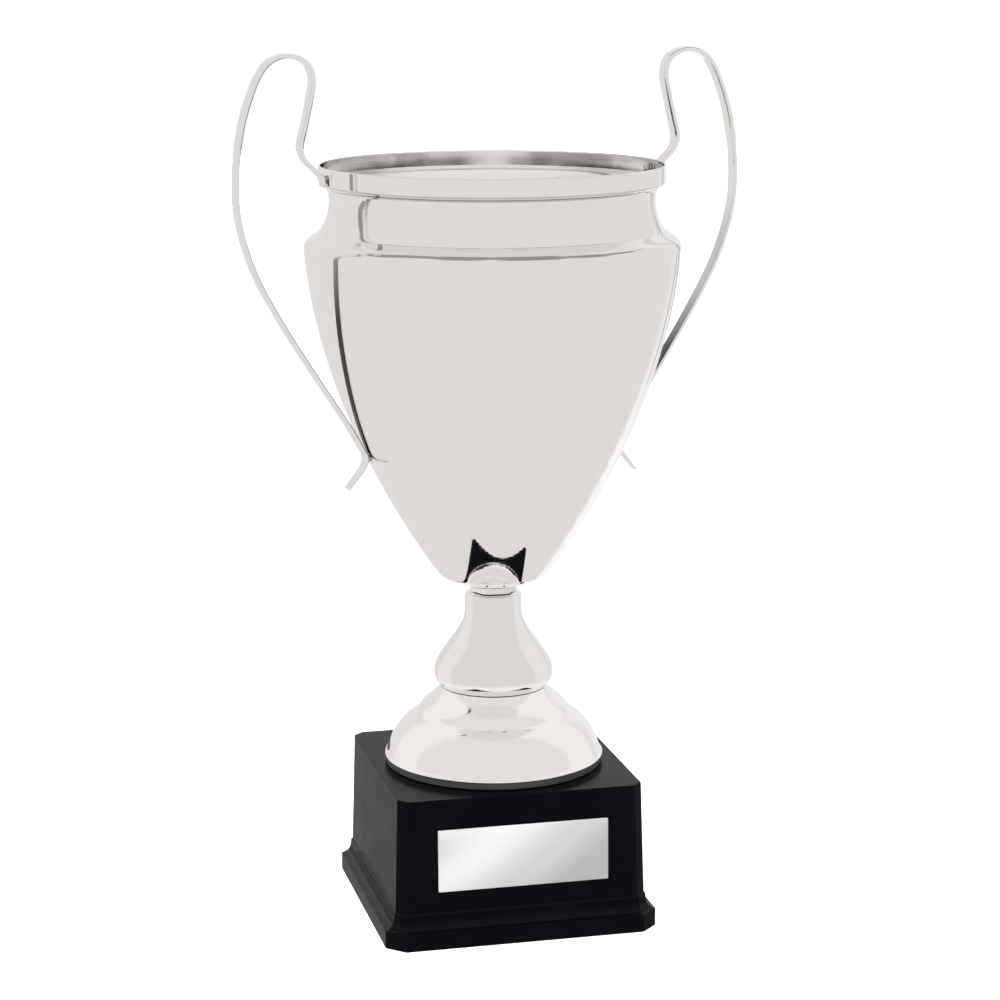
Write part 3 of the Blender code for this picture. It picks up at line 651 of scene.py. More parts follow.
def cast_cement():
    """Cast cement ballast with sand grains and air pores."""
    look = Look("cast_cement")
    sand = look.noise(900, detail=4)
    mortar = look.blend(sand, (0.33, 0.32, 0.30), (0.50, 0.49, 0.46))
    stains = look.between(look.noise(60), 0.4, 0.65, 0, 0.5)
    roughness = look.between(sand, 0.3, 0.7, 0.82, 0.97)
    relief = look.sum(look.between(look.cells(420), 0.0, 0.25), sand, 0.6)
    return look.finished(look.blend(stains, mortar, (0.36, 0.35, 0.33)), roughness, relief, 0.25 * MM)


def hardboard():
    """Pressed fibre board: matted brown fibres and a faint screen texture."""
    look = Look("fibre_board")
    fibres = look.noise((1500, 300, 700), detail=5)
    brown = look.blend(fibres, (0.14, 0.075, 0.038), (0.31, 0.19, 0.105))
    return look.finished(brown, look.between(fibres, 0.3, 0.7, 0.62, 0.85), fibres, 0.08 * MM)


def green_felt():
    """Pressed wool felt: tangled short fibres and a soft sheen."""
    look = Look("green_felt")
    look.drive("Sheen Weight", 0.35)
    look.drive("Sheen Roughness", 0.4)
    tangle = look.noise(1500, detail=6, roughness=0.7)
    clumps = look.noise(160)
    green = look.blend(tangle, (0.010, 0.052, 0.022), (0.035, 0.135, 0.062))
    clumped = look.blend(look.between(clumps, 0.3, 0.7, 0, 0.6), green, (0.02, 0.075, 0.035))
    roughness = look.between(tangle, 0.3, 0.7, 0.88, 1.0)
    return look.finished(clumped, roughness, look.sum(tangle, clumps, 0.5), 0.2 * MM)


def adhesive_foam():
    """Closed-cell mounting foam."""
    look = Look("adhesive_foam")
    bubbles = look.cells(2500)
    colour = look.blend(bubbles, (0.80, 0.80, 0.77), (0.62, 0.62, 0.59))
    return look.finished(colour, look.between(bubbles, 0.0, 0.6, 0.7, 0.92), bubbles, 0.05 * MM)


# ---- cup: bowl, stem and foot ----
def seat_frame(point, outward):
    """A frame in the handles' plane at a (radius, height) point, with +Z along the outward direction."""
    z_axis = Vector((outward.x, 0, outward.y))
    y_axis = Vector((0, 1, 0))
    x_axis = y_axis.cross(z_axis)
    seat = Matrix((x_axis, y_axis, z_axis)).transposed().to_4x4()
    seat.translation = Vector((point.x, 0, point.y))
    return seat


def screw_seats():
    """The frames of the upper and lower handle screws, on the bowl's outer face."""
    side = bowl_outline()
    seats = {"upper": seat_frame(Vector((side[0].x, UPPER_SCREW_Z)), Vector((1, 0)))}
    for high, low in zip(side, side[1:]):
        if low.y <= LOWER_SCREW_Z <= high.y:
            share = (LOWER_SCREW_Z - low.y) / (high.y - low.y)
            seats["lower"] = seat_frame(high.lerp(low, 1 - share), right_of((high - low).normalized()))
    return seats


def drill(name, place, low, high):
    """A cutter for one screw hole."""
    outline = vectors((0, low), (SCREW_HOLE_RADIUS, low), (SCREW_HOLE_RADIUS, high), (0, high))
    return plain_object(name, turned(outline, SCREW_SEGMENTS, closed=False), place)


def make_bowl(seats, material):
    """The spun bowl, with a rounded lip, a hole for the tie rod and four holes for the handle screws."""
    outer = bowl_outline()
    inner = inward(outer, BOWL_WALL)
    lip_centre = outer[0] - Vector((BOWL_WALL / 2, 0))
    lip = arc(lip_centre, BOWL_WALL / 2, 180, 0, 12)[1:-1]
    hole_low = Vector((ROD_HOLE_RADIUS, outer[-1].y))
    floor = [hole_low, hole_low + Vector((0, BOWL_WALL))]
    outside = eased(outer + floor[:1], radius=0.25 * MM)
    inside = eased(floor[1:] + inner[::-1], radius=0.4 * MM)
    reach = 5 * MM
    cutters = []
    for turn in HANDLE_TURNS.values():
        for level, seat in seats.items():
            cutters.append(drill("bowl_drill_" + level, CUP_TURN @ turn @ seat, -reach, reach))
    piece("bowl", turned(outside + inside + lip, TURNED_SEGMENTS), material, CUP_TURN, cutters)


def make_stem(material):
    """The spun stem with its knop, open underneath."""
    outer = stem_outline()
    inner = inward(outer, STEM_WALL)
    under_roof = Vector((ROD_HOLE_RADIUS, outer[0].y - STEM_WALL))
    inner[0] = Vector((inner[0].x, under_roof.y))
    outline = [Vector((ROD_HOLE_RADIUS, outer[0].y))] + outer + inner[::-1] + [under_roof]
    piece("stem", turned(eased(outline, TURNED_EDGE, closed=True), TURNED_SEGMENTS), material)


def make_foot(material):
    """The spun foot: a flat top under the stem, a small tier, a dome and a turned-out edge."""
    outer = foot_side()
    inner = inward(outer, FOOT_WALL)
    hole_low = Vector((ROD_HOLE_RADIUS, outer[0].y - FOOT_WALL))
    inner[0] = Vector((inner[0].x, hole_low.y))
    edge = foot_edge(outer[-1])
    outline = [Vector((ROD_HOLE_RADIUS, outer[0].y))] + outer + edge + [Vector((edge[-1].x, FOOT_BOTTOM_Z))]
    outline += [Vector((inner[-1].x, FOOT_BOTTOM_Z))] + inner[::-1] + [hole_low]
    piece("foot", turned(eased(outline, TURNED_EDGE, closed=True), TURNED_SEGMENTS), material)


# ---- handles and their screws ----
def strip_section(width, thickness, inset):
    """A flat strip's section with fully rounded edges, as (across the thickness, across the width)."""
    straight = (width - thickness) / 2
    radius = thickness / 2 - inset
    points = arc(Vector((0, straight)), radius, 0, 180, 12)
    points += arc(Vector((0, -straight)), radius, 180, 360, 12)
    return points


def handle_stations():
    """The centre line's points, with extra ones at both ends, where the strip's edges are eased."""
    line = handle_line()
    shares = (0, 0.1, 0.35, 0.65)
    head = [line[0].lerp(line[1], share) for share in shares]
    tail = [line[-1].lerp(line[-2], share) for share in shares[::-1]]
    return head + line[1:-1] + tail


def end_inset(distance):
    """How far the strip's section shrinks at a distance from its end, to ease the end's edge."""
    if distance >= STRIP_END_EASING:
        return 0
    rest = STRIP_END_EASING - distance
    return STRIP_END_EASING - math.sqrt(STRIP_END_EASING**2 - rest**2)


def make_handle(side, turn, seats, material):
    """One bent strip, dressed thin at both ends, with a blind hole for each of its two screws."""
    line = handle_stations()
    lengths = [(b - a).length for a, b in zip(line, line[1:])]
    rings = []
    for i, point in enumerate(line):
        across = right_of(course(line, i))
        from_head = sum(lengths[:i])
        from_tail = sum(lengths[i:])
        to_tail = min(from_tail / TAIL_LENGTH, 1)
        to_head = min(from_head / HEAD_LENGTH, 1)
        width = TAIL_WIDTH + (STRIP_WIDTH - TAIL_WIDTH) * to_tail
        thickness = TAIL_THICKNESS + (STRIP_THICKNESS - TAIL_THICKNESS) * to_tail
        thickness -= (STRIP_THICKNESS - HEAD_THICKNESS) * (1 - to_head)
        ring = []
        for thick, wide in strip_section(width, thickness, end_inset(min(from_head, from_tail))):
            flat = point + thick * across
            ring.append(Vector((flat.x, wide, flat.y)))
        rings.append(ring)
    place = CUP_TURN @ turn
    cutters = []
    for level, seat in seats.items():
        cutters.append(drill("handle_drill_" + level, place @ seat, -SCREW_BITE, SCREW_BITE + 2 * GAP))
    piece("handle_" + side, skin(rings), material, place, cutters)


def make_handle_screw(name, place, material):
    """A slotted pan-head screw, put in from inside the bowl, and the washer under its head."""
    washer_top = -BOWL_WALL - GAP
    washer_bottom = washer_top - SCREW_WASHER_HEIGHT
    washer = ring_outline(SCREW_HOLE_RADIUS, SCREW_WASHER_RADIUS, washer_bottom, washer_top, edge=0.1 * MM)
    piece("handle_washer_" + name, turned(washer, SCREW_SEGMENTS), material, place)
    head_base = washer_bottom - GAP
    head_top = head_base - SCREW_HEAD_HEIGHT
    crown = vectors(
        (0, head_top), (SCREW_HEAD_RADIUS * 0.7, head_top),
        (SCREW_HEAD_RADIUS, head_top + SCREW_HEAD_HEIGHT * 0.1),
        (SCREW_HEAD_RADIUS, head_base - SCREW_HEAD_HEIGHT / 2),
    )
    shank = vectors(
        (SCREW_HEAD_RADIUS, head_base), (SCREW_RADIUS, head_base),
        (SCREW_RADIUS, SCREW_BITE * 0.7), (SCREW_RADIUS * 0.7, SCREW_BITE), (0, SCREW_BITE),
    )
    outline = eased(crown[:1] + bezier(*crown, 8) + shank, radius=0.12 * MM)
    slot = bmesh.new()
    bmesh.ops.create_cube(slot, size=1)
    bmesh.ops.scale(slot, vec=(SCREW_SLOT_WIDTH, 6 * MM, SCREW_HEAD_HEIGHT), verts=slot.verts)
    bmesh.ops.translate(slot, vec=(0, 0, head_top), verts=slot.verts)
    cutter = plain_object("slot_cutter_" + name, slot, place)
    bm = turned(outline, SCREW_SEGMENTS, closed=False)
    piece("handle_screw_" + name, bm, material, place, [cutter])


# ---- tie rod and its hardware ----
def make_ring(node, edge, segments, material):
    """A flat ring round the tie rod: a washer, or the disc under the foot."""
    low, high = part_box(node)
    outline = ring_outline(ROD_HOLE_RADIUS, high.x, low.z, high.z, edge)
    piece(node, turned(outline, segments), material)


def make_nut(node, flat, circle, bore, turn, material):
    """A hexagon nut whose flats run out in the curved edges of two chamfers."""
    low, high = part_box(node)
    slope = math.tan(math.radians(30))
    lead_in = 0.4 * MM
    columns = []
    for i in range(HARDWARE_SEGMENTS):
        a = math.tau * i / HARDWARE_SEGMENTS
        from_flat = (a + math.pi / 6) % (math.pi / 3) - math.pi / 6
        hexagon = flat / math.cos(from_flat)
        drop = max(hexagon - circle, 0.1 * MM) * slope
        section = (
            (bore, low.z + lead_in), (bore + lead_in, low.z), (min(circle, hexagon), low.z),
            (hexagon, low.z + drop), (hexagon, (low.z + high.z) / 2), (hexagon, high.z - drop),
            (min(circle, hexagon), high.z), (bore + lead_in, high.z), (bore, high.z - lead_in),
        )
        columns.append([swung(radius, height, a) for radius, height in section])
    piece(node, skin(zip(*columns), along=True), material, turn)


def make_rod_nut(node, material):
    """One of the two nuts on the ends of the tie rod."""
    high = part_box(node)[1]
    flat = min(high.x, high.y)
    make_nut(node, flat, 0.96 * flat, NUT_BORE_RADIUS, None, material)


def make_collar_nut(material):
    """The bright hexagon nut between the stem and the bowl, with hardly any chamfer."""
    flat = COLLAR_NUT_FLATS / 2
    turn = Matrix.Rotation(COLLAR_NUT_TURN, 4, 'Z')
    make_nut("collar_nut", flat, 1.12 * flat, ROD_HOLE_RADIUS, turn, material)


def make_spring_washer(material):
    """A split lock washer with a slanted cut and eased edges."""
    low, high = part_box("spring_washer")
    inner = ROD_HOLE_RADIUS - 0.1 * MM
    split = math.radians(12)
    slant = math.radians(9)
    outline = ring_outline(inner, high.y, low.z, high.z, edge=0.15 * MM)
    height = high.z - low.z
    rings = []
    for i in range(HARDWARE_SEGMENTS + 1):
        ring = []
        for p in outline:
            lean = slant * ((p.y - low.z) / height - 0.5)
            a = split / 2 + lean + (math.tau - split) * i / HARDWARE_SEGMENTS
            ring.append(swung(p.x, p.y, a))
        rings.append(ring)
    piece("spring_washer", skin(rings), material)


def make_tie_rod(material):
    """The threaded rod: rows of points that climb one thread per turn, between two chamfered ends."""
    columns = 32
    rows_per_turn = 6
    tip = 0.7 * MM
    rod_radius = ROD_HIGH.x
    turns = math.ceil((ROD_HIGH.z - ROD_LOW.z) / THREAD_PITCH) + 2
    bm = bmesh.new()
    grid = []
    for j in range(turns * rows_per_turn + 1):
        from_root = 1 - abs(2 * (j % rows_per_turn) / rows_per_turn - 1)
        row = []
        for i in range(columns):
            height = ROD_LOW.z + THREAD_PITCH * (j / rows_per_turn + i / columns - 1)
            height = min(max(height, ROD_LOW.z), ROD_HIGH.z)
            from_end = min(height - ROD_LOW.z, ROD_HIGH.z - height)
            reach = min(rod_radius - THREAD_DEPTH * (1 - from_root), rod_radius - tip + from_end)
            a = math.tau * i / columns
            row.append(bm.verts.new(swung(reach, height, a)))
        grid.append(row)
    for low, high in zip(grid, grid[1:]):
        for i in range(columns - 1):
            bm.faces.new((low[i], low[i + 1], high[i + 1], high[i]))
    for j in range(len(grid) - rows_per_turn - 1):
        next_turn = j + rows_per_turn
        bm.faces.new((grid[j][-1], grid[next_turn][0], grid[next_turn + 1][0], grid[j + 1][-1]))
    bmesh.ops.remove_doubles(bm, verts=bm.verts, dist=WELD_DISTANCE)
    bmesh.ops.holes_fill(bm, edges=[edge for edge in bm.edges if edge.is_boundary], sides=columns)
    piece("tie_rod", bm, material)


# ---- plinth and what it holds ----
def plinth_levels():
    """The plinth's outside from its underside up, as (half width, corner clip, height)."""
    band = PLINTH_HIGH.x
    bead = BLOCK_BOTTOM_HALF + 0.6 * MM
    cove_top = Vector((bead, BLOCK_BOTTOM_Z - 1.1 * MM))
    cove_foot = Vector((band, BASE_BAND_Z))
    foot_pull = Vector((bead + 1.4 * MM, BASE_BAND_Z))
    top_pull = cove_top - Vector((0, 2 * MM))
    levels = vectors((band, BASE_BAND_CLIP, PLINTH_LOW.z), (band, BASE_BAND_CLIP, BASE_BAND_Z))
    for point in bezier(cove_foot, foot_pull, top_pull, cove_top, 12):
        share = (point.x - bead) / (band - bead)
        clip = BLOCK_BOTTOM_CLIP + (BASE_BAND_CLIP - BLOCK_BOTTOM_CLIP) * share
        levels.append(Vector((point.x, clip, point.y)))
    return levels + vectors(
        (bead, BLOCK_BOTTOM_CLIP, BLOCK_BOTTOM_Z),
        (BLOCK_BOTTOM_HALF, BLOCK_BOTTOM_CLIP, BLOCK_BOTTOM_Z + 0.4 * MM),
        (PLINTH_TOP_HALF, PLINTH_TOP_CLIP, PLINTH_HIGH.z),
    )


def make_plinth(material):
    """The hollow moulding: outside, top with the rod hole, and the stepped inside that is open below."""
    edge = 0.35 * MM
    outside = plinth_levels()
    roof_z = PLINTH_HIGH.z - 3.2 * MM
    wall = 2.6 * MM
    board_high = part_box("base_board")[1]
    rebate_half = board_high.x + GAP
    rebate_z = board_high.z + GAP
    ledge_half = BLOCK_BOTTOM_HALF - wall
    top_middle = Vector((PLINTH_TOP_HALF / 2, PLINTH_TOP_CLIP, PLINTH_HIGH.z))
    inside = vectors(
        (PLINTH_TOP_HALF - wall, INSIDE_CLIP, roof_z), (ledge_half, INSIDE_CLIP, BLOCK_BOTTOM_Z),
        (ledge_half, INSIDE_CLIP, rebate_z), (rebate_half, INSIDE_CLIP, rebate_z),
        (rebate_half, INSIDE_CLIP, PLINTH_LOW.z),
    )
    over = eased(outside + [top_middle], edge, longest=4 * MM)[:-1]
    rings = [clipped_ring(*level, edge) for level in over]
    rings += [round_ring(rings[0], ROD_HOLE_RADIUS, height) for height in (PLINTH_HIGH.z, roof_z)]
    rings += [clipped_ring(*level, edge) for level in inside]
    piece("plinth", skin(rings, along=True), material)


def make_block(node, clip, edge, material, bored):
    """A clipped square block with eased edges, with or without a hole for the rod."""
    low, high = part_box(node)
    corners = vectors(
        (high.x / 2, clip, low.z), (high.x, clip, low.z),
        (high.x, clip, high.z), (high.x / 2, clip, high.z),
    )
    rings = [clipped_ring(*level, edge) for level in eased(corners, edge, longest=6 * MM)]
    if bored:
        heights = (high.z, (low.z + high.z) / 2, low.z)
        rings += [round_ring(rings[0], ROD_HOLE_RADIUS, height) for height in heights]
    piece(node, skin(rings, along=bored), material)


def make_felt(material):
    """The felt sheet: its underside is a real, slightly uneven nap, and its edge is soft."""
    low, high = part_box("base_felt")
    nap = 0.12 * MM
    clump = 1.5 * MM
    corner = 1 * MM
    steps = 60
    rings = [clipped_ring(high.x - nap, INSIDE_CLIP, high.z, corner)]
    for k in range(steps + 1):
        share = 1 - k / (steps + 1)
        ring = []
        for p in clipped_ring(high.x, INSIDE_CLIP, low.z + nap, corner):
            flat = Vector((p.x * share, p.y * share, p.z))
            lift = noise.noise(flat / clump) * nap
            ring.append(flat + Vector((0, 0, lift)))
        rings.append(ring)
    piece("base_felt", skin(rings), material)


def make_plate_layer(node, half_width, half_height, back, front, corner, material):
    """One thin layer of the engraving plate, on the plinth's drafted front wall."""
    edge = min(0.12 * MM, (back - front) / 3)
    draft_run = (PLATE_CENTRE_Z - BLOCK_BOTTOM_Z) * math.tan(PLATE_DRAFT)
    wall_point = Vector((0, draft_run - BLOCK_BOTTOM_HALF, PLATE_CENTRE_Z))
    place = Matrix.Translation(wall_point) @ Matrix.Rotation(-PLATE_DRAFT, 4, 'X')
    rings = []
    for shrink, y in ((edge, back), (0, back - edge), (0, front + edge), (edge, front)):
        across = half_width - shrink
        high = half_height - shrink
        corners = vectors((-across, -high), (across, -high), (across, high), (-across, high))
        rings.append([Vector((p.x, y, p.y)) for p in eased(corners, corner, closed=True, longest=1)])
    piece(node, skin(rings), material, place)


def make_plate(plate_material, pad_material):
    """The engraving plate and the adhesive pad behind it."""
    pad_inset = 1.5 * MM
    half_width = PLATE_HIGH.x
    half_height = PLATE_HEIGHT / 2
    pad_front = -LABEL_GAP - PAD_THICKNESS
    plate_back = pad_front - LABEL_GAP
    make_plate_layer(
        "plate_adhesive", half_width - pad_inset, half_height - pad_inset,
        back=-LABEL_GAP, front=pad_front, corner=1 * MM, material=pad_material,
    )
    make_plate_layer(
        "engraving_plate", half_width, half_height,
        back=plate_back, front=plate_back - PLATE_THICKNESS, corner=0.5 * MM,
        material=plate_material,
    )


# ---- light tent ----
CAMERA_PLACE = Vector((-0.2510, -1.0610, 0.3975))
CAMERA_HEADING = math.radians(13.46)    # from +Y towards +X
CAMERA_DIP = math.radians(11.79)
CAMERA_ROLL = math.radians(-0.11)
CAMERA_LENS = 98.19
CAMERA_SENSOR = 36
UP = Vector((0, 0, 1))
AHEAD = Vector((math.sin(CAMERA_HEADING), math.cos(CAMERA_HEADING), 0))
FLOOR_REACH = 4.0
FLOOR_IN_DIFFUSE = (0.86, 0.85, 0.84)
FLOOR_ON_CAMERA = grey(2.6)
DOME_RADIUS = 3.9
TENT_GREY = (0.777, 0.758, 0.748)
BACKDROP_HEADING = math.radians(24)     # the backdrop's middle, from +Y towards +X
BACKDROP_INNER = math.radians(20)       # half angles of the white backdrop
BACKDROP_OUTER = math.radians(30)
BACKDROP_HIGH = (0.85, 0.845, 0.84)
BACKDROP_LOW = (0.99, 0.99, 0.985)
# azimuth, elevation and half width in degrees along the two dark lines that the cup's mirrors see
ARCH = (
    (152.5, -25, 2.8), (152.5, 27, 2.3), (141, 48, 5.5), (158, 71, 12), (258, 84, 15),
    (355, 66, 11), (10, 53, 6), (23, 45, 2), (33, 39, 1),
)
ARCH_TONE = 0.31
ARCH_TONE_ABOVE_RIM = 0.15
POLE = ((50, -28, 1.4), (50.5, 7, 1.4), (54, 11, 1))
POLE_TONE = 0.5
SIDE_GLOW = (0.87, 0.86, 0.85)
FLOOR_GLOW = (0.95, 0.945, 0.94)
FRONT_OVERHEAD = (1.9, 1.9, 2.0)
BEHIND_LOW = grey(0.46)
BEHIND_HIGH = grey(1.25)
# soft steps, from none to all, on the height or the side that a mirrored ray comes from
FROM_ARCH_HEIGHT = (275.5 * MM, 276.5 * MM)
FROM_POLE_HEIGHT = (200 * MM, 240 * MM)
FROM_GLOW_HEIGHT = (136 * MM, 135 * MM)
FROM_PLINTH = (DISC_BOTTOM_Z, DISC_BOTTOM_Z - MM)
FROM_ABOVE_RIM = (BOWL_HIGH.z, BOWL_HIGH.z + 4 * MM)
FROM_RIGHT_OF_LEFT_HANDLE = (-73 * MM, -71 * MM)
# soft steps on how far a mirrored ray points down, up or ahead
DOWN_TO_LOW_BACKDROP = (0.18, 0.38)
UP_UNDER_BACKDROP_TOP = (0.75, 0.5)
UP_TO_FLOOR_GLOW = (-0.25, -0.55)
UP_OVERHEAD = (0.15, 0.7)
UP_OVER_HORIZON = (-0.03, 0.03)
AHEAD_TO_SIDE = (-0.1, 0.1)
AHEAD_BESIDE_BACKDROP = (0.75, 0.6)
AHEAD_IN_FRONT = (0.1, -0.1)
AHEAD_BEHIND = (0.1, 0.3)
FIRST_MIRROR_DEPTH = (1.6, 1.4)


def heading(azimuth, elevation):
    """The direction at an azimuth from +X and an elevation, both in degrees."""
    a = math.radians(azimuth)
    e = math.radians(elevation)
    return Vector((math.cos(a) * math.cos(e), math.sin(a) * math.cos(e), math.sin(e)))


class Tent(Nodes):
    """Nodes that give the light tent's colour in a direction, for the world, the floor and the dome."""

    def line(self, direction, start, stop, half_width):
        """1 along the line between two directions, else 0, with soft edges."""
        normal = start.cross(stop).normalized()
        middle = (start + stop).normalized()
        reach = start.dot(middle)
        off = self.math('ABSOLUTE', self.along(direction, normal))
        width = math.radians(half_width)
        near = self.step(off, 1.25 * width, 0.75 * width)
        beside = self.step(self.along(direction, middle), reach - 0.02, reach)
        return self.times(near, beside)

    def path(self, direction, knots):
        """1 along a line through several directions, else 0."""
        placed = [(heading(azimuth, elevation), width) for azimuth, elevation, width in knots]
        covered = None
        for (start, wide), (stop, wider) in zip(placed, placed[1:]):
            part = self.line(direction, start, stop, (wide + wider) / 2)
            covered = part if covered is None else self.math('MAXIMUM', covered, part)
        return covered

    def colour(self, direction):
        """Pale grey all round, whiter behind the cup and whitest low down there."""
        ahead = Vector((math.sin(BACKDROP_HEADING), math.cos(BACKDROP_HEADING), 0))
        level = self.vector('NORMALIZE', self.level(direction))
        behind = self.step(self.along(level, ahead), math.cos(BACKDROP_OUTER), math.cos(BACKDROP_INNER))
        below_top = self.step(self.along(direction, UP), *UP_UNDER_BACKDROP_TOP)
        low = self.step(self.along(direction, -UP), *DOWN_TO_LOW_BACKDROP)
        white = self.blend(low, BACKDROP_HIGH, BACKDROP_LOW)
        return self.blend(self.times(behind, below_top), TENT_GREY, white)

    def low_tone(self, tone, direction, source):
        """The tone, with what only the stem, the foot and the plinth see."""
        onwards = self.along(direction, AHEAD)
        rise = self.along(direction, UP)
        from_low = self.step(source, *FROM_GLOW_HEIGHT)
        beside = self.times(self.step(onwards, *AHEAD_TO_SIDE), self.step(onwards, *AHEAD_BESIDE_BACKDROP))
        tone = self.blend(self.times(from_low, beside), tone, SIDE_GLOW)
        tone = self.blend(self.times(from_low, self.step(rise, *UP_TO_FLOOR_GLOW)), tone, FLOOR_GLOW)
        from_plinth = self.step(source, *FROM_PLINTH)
        in_front = self.times(from_plinth, self.step(onwards, *AHEAD_IN_FRONT))
        tone = self.blend(self.times(in_front, self.step(rise, *UP_OVERHEAD)), tone, FRONT_OVERHEAD)
        behind = self.times(from_plinth, self.step(onwards, *AHEAD_BEHIND))
        behind_tone = self.blend(self.step(rise, *UP_OVER_HORIZON), BEHIND_LOW, BEHIND_HIGH)
        return self.blend(behind, tone, behind_tone)

    def lined(self, tone, direction, source, shown):
        """The tone with the dark arch and the pole, where they are shown."""
        arch = self.times(self.path(direction, ARCH), self.step(source, *FROM_ARCH_HEIGHT))
        pole = self.times(self.path(direction, POLE), self.step(source, *FROM_POLE_HEIGHT))
        above_rim = self.step(source, *FROM_ABOVE_RIM)
        arch_colour = self.blend(above_rim, grey(ARCH_TONE), grey(ARCH_TONE_ABOVE_RIM))
        with_pole = self.blend(self.times(pole, shown), tone, grey(POLE_TONE))
        return self.blend(self.times(arch, shown), with_pole, arch_colour)

    def mirrored(self):
        """The tent's colour on a surface that the cup's mirrors see; the left handle sees no dark lines."""
        geometry = self.node("NewGeometry").outputs
        ray = self.node("LightPath").outputs

        def source_along(axis):
            back = self.times(self.along(geometry["Incoming"], axis), ray["Ray Length"])
            return self.math('ADD', self.along(geometry["Position"], axis), back)

        direction = self.vector('MULTIPLY', geometry["Incoming"], (-1, -1, -1))
        source = source_along(UP)
        not_left_handle = self.step(source_along(Vector((1, 0, 0))), *FROM_RIGHT_OF_LEFT_HANDLE)
        shown = self.times(self.step(ray["Glossy Depth"], *FIRST_MIRROR_DEPTH), not_left_handle)
        tone = self.low_tone(self.colour(direction), direction, source)
        return self.lined(tone, direction, source, shown)


# ---- stage, lamp and camera ----
def make_floor():
    """Pale matt floor: white on camera, the tent's own tone in the mirrors, open when seen from below."""
    look = Look("studio_floor")
    look.drive("Roughness", 0.9)
    look.drive("Specular IOR Level", 0.0)
    path = look.node("LightPath").outputs
    look.drive("Base Color", look.blend(path["Is Camera Ray"], FLOOR_IN_DIFFUSE, FLOOR_ON_CAMERA))
    glow = look.node("Emission", Tent(look.tree).mirrored())
    mirrored = look.node("MixShader", path["Is Glossy Ray"], look.shader.outputs[0], glow.outputs[0])
    backfacing = look.node("NewGeometry").outputs["Backfacing"]
    below = look.math('MAXIMUM', backfacing, path["Transparent Depth"])
    clear = look.node("BsdfTransparent")
    shown = look.node("MixShader", below, mirrored.outputs[0], clear.outputs[0])
    look.put(look.tree.nodes["Material Output"], "Surface", shown.outputs[0])
    r = FLOOR_REACH
    drop = PLINTH_LOW.z - 0.2 * MM
    mesh = bpy.data.meshes.new("floor")
    mesh.from_pydata(vectors((-r, -r, drop), (r, -r, drop), (r, r, drop), (-r, r, drop)), [], [(0, 1, 2, 3)])
    mesh.materials.append(look.material)
    new_object("floor", mesh)


def make_dome():
    """The light tent's dome, which only the mirrors see."""
    look = Look("tent_dome")
    glow = look.node("Emission", Tent(look.tree).mirrored())
    look.put(look.tree.nodes["Material Output"], "Surface", glow.outputs[0])
    side = arc(Vector((0, 0)), DOME_RADIUS, 90, -1, 24)
    side[0] = Vector((0, DOME_RADIUS))
    dome = plain_object("tent_dome", turned(side, 48, closed=False))
    dome.data.materials.append(look.material)
    for use in ("camera", "diffuse", "shadow", "transmission"):
        setattr(dome, "visible_" + use, False)


def make_world():
    """The light tent around the cup, plain white on camera."""
    world = bpy.data.worlds.new("light_tent")
    bpy.context.scene.world = world
    world.use_nodes = True
    tent = Tent(world.node_tree)
    direction = tent.node("TexCoord").outputs["Generated"]
    on_camera = tent.node("LightPath").outputs["Is Camera Ray"]
    seen = tent.blend(on_camera, tent.colour(direction), grey(1))
    tent.put(tent.tree.nodes["Background"], "Color", seen)


def make_lamp(name, place, size, power):
    """A soft square lamp that looks at the cup and doesn't show in its mirrors."""
    data = bpy.data.lights.new(name, 'AREA')
    data.size = size
    data.energy = power
    lamp = new_object(name, data)
    lamp.location = place
    aim = Vector((0, 0, BOWL_LOW.z)) - Vector(place)
    lamp.rotation_euler = aim.to_track_quat('-Z', 'Y').to_euler()
    lamp.visible_glossy = False
    lamp.visible_camera = False


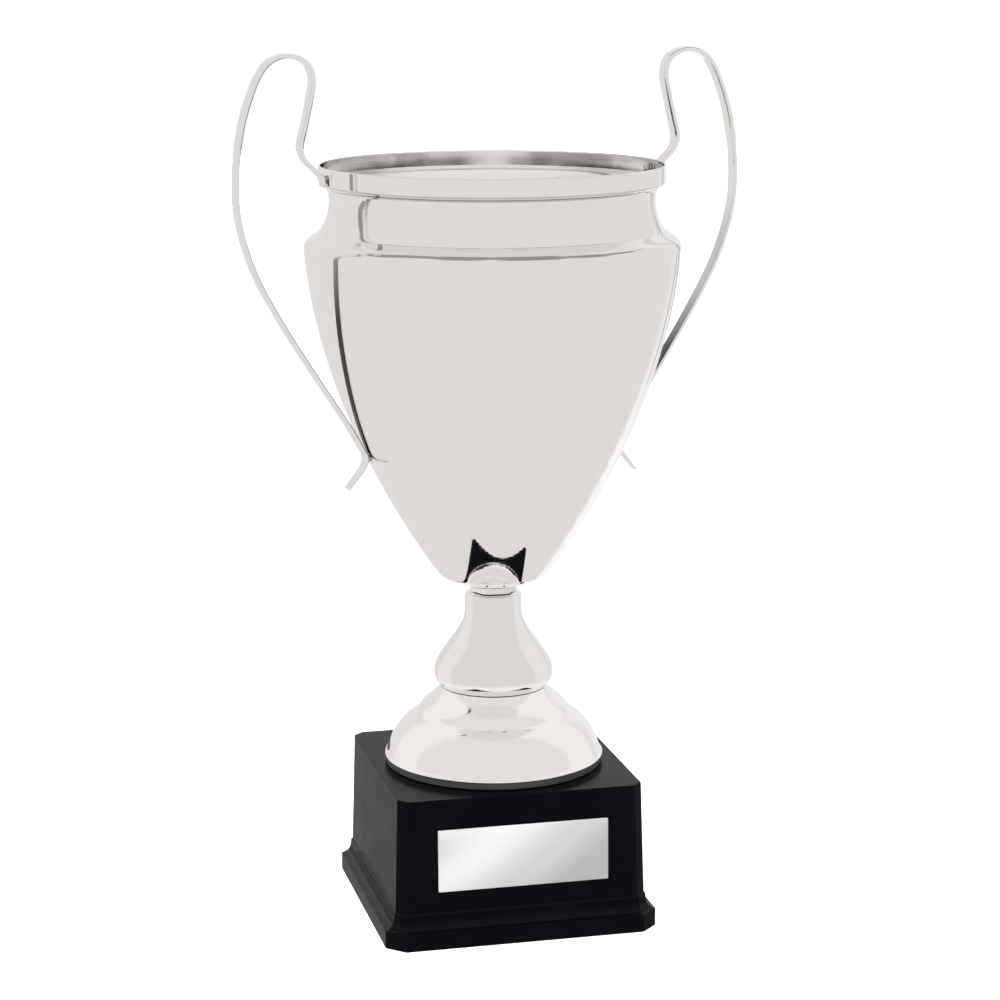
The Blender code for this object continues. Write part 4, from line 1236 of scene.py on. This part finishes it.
def make_camera():
    """The camera, at the photo's height, distance and angle, to the left of the cup's front."""
    data = bpy.data.cameras.new("camera")
    data.lens = CAMERA_LENS
    data.sensor_width = CAMERA_SENSOR
    data.clip_start = 0.05
    camera = new_object("camera", data)
    look_along = AHEAD * math.cos(CAMERA_DIP) - Vector((0, 0, math.sin(CAMERA_DIP)))
    aim = look_along.to_track_quat('-Z', 'Y').to_matrix().to_4x4()
    camera.matrix_world = Matrix.Translation(CAMERA_PLACE) @ aim @ Matrix.Rotation(CAMERA_ROLL, 4, 'Z')
    bpy.context.scene.camera = camera


def make_stage():
    """Floor, dome, lamp, world and camera."""
    make_floor()
    make_dome()
    make_lamp("overhead", place=(-0.5, -0.7, 1.8), size=1.6, power=19)
    make_world()
    make_camera()
    bpy.context.scene.view_settings.view_transform = 'Standard'


# ---- assembly ----
bowl_silver = silver("bowl_silver", "bowl")
# the stem gets a darker copy of the silver (painted shade) and the foot a lighter one (painted light)
stem_silver = silver("stem_silver", "turned", tone=0.965)
foot_silver = silver("foot_silver", "turned", tone=1.05)
strip_silver = silver("strip_silver", "strip")
steel = zinc_steel()
seats = screw_seats()

make_bowl(seats, bowl_silver)
make_stem(stem_silver)
make_collar_nut(stem_silver)
make_foot(foot_silver)
for side, turn in HANDLE_TURNS.items():
    make_handle(side, turn, seats, strip_silver)
    for level, seat in seats.items():
        make_handle_screw(f"{level}_{side}", CUP_TURN @ turn @ seat, steel)
for node in ("bowl_washer", "plinth_washer"):
    make_ring(node, 0.2 * MM, HARDWARE_SEGMENTS, steel)
make_spring_washer(steel)
make_rod_nut("rod_nut_upper", steel)
make_rod_nut("rod_nut_lower", steel)
make_tie_rod(steel)
disc_black = black_moulding("disc_black", (0.065, 0.064, 0.066), roughness=0.35, fresnel_index=1.35)
make_ring("seat_disc", 0.3 * MM, DISC_SEGMENTS, disc_black)
plinth_black = black_moulding("black_moulding", (0.0018, 0.0019, 0.0034), roughness=0.18, fresnel_index=1.12)
make_plinth(plinth_black)
make_block("ballast_block", 5 * MM, 1.2 * MM, cast_cement(), bored=True)
make_block("base_board", INSIDE_CLIP, 0.2 * MM, hardboard(), bored=False)
make_felt(green_felt())
make_plate(satin_plate(), adhesive_foam())
make_stage()
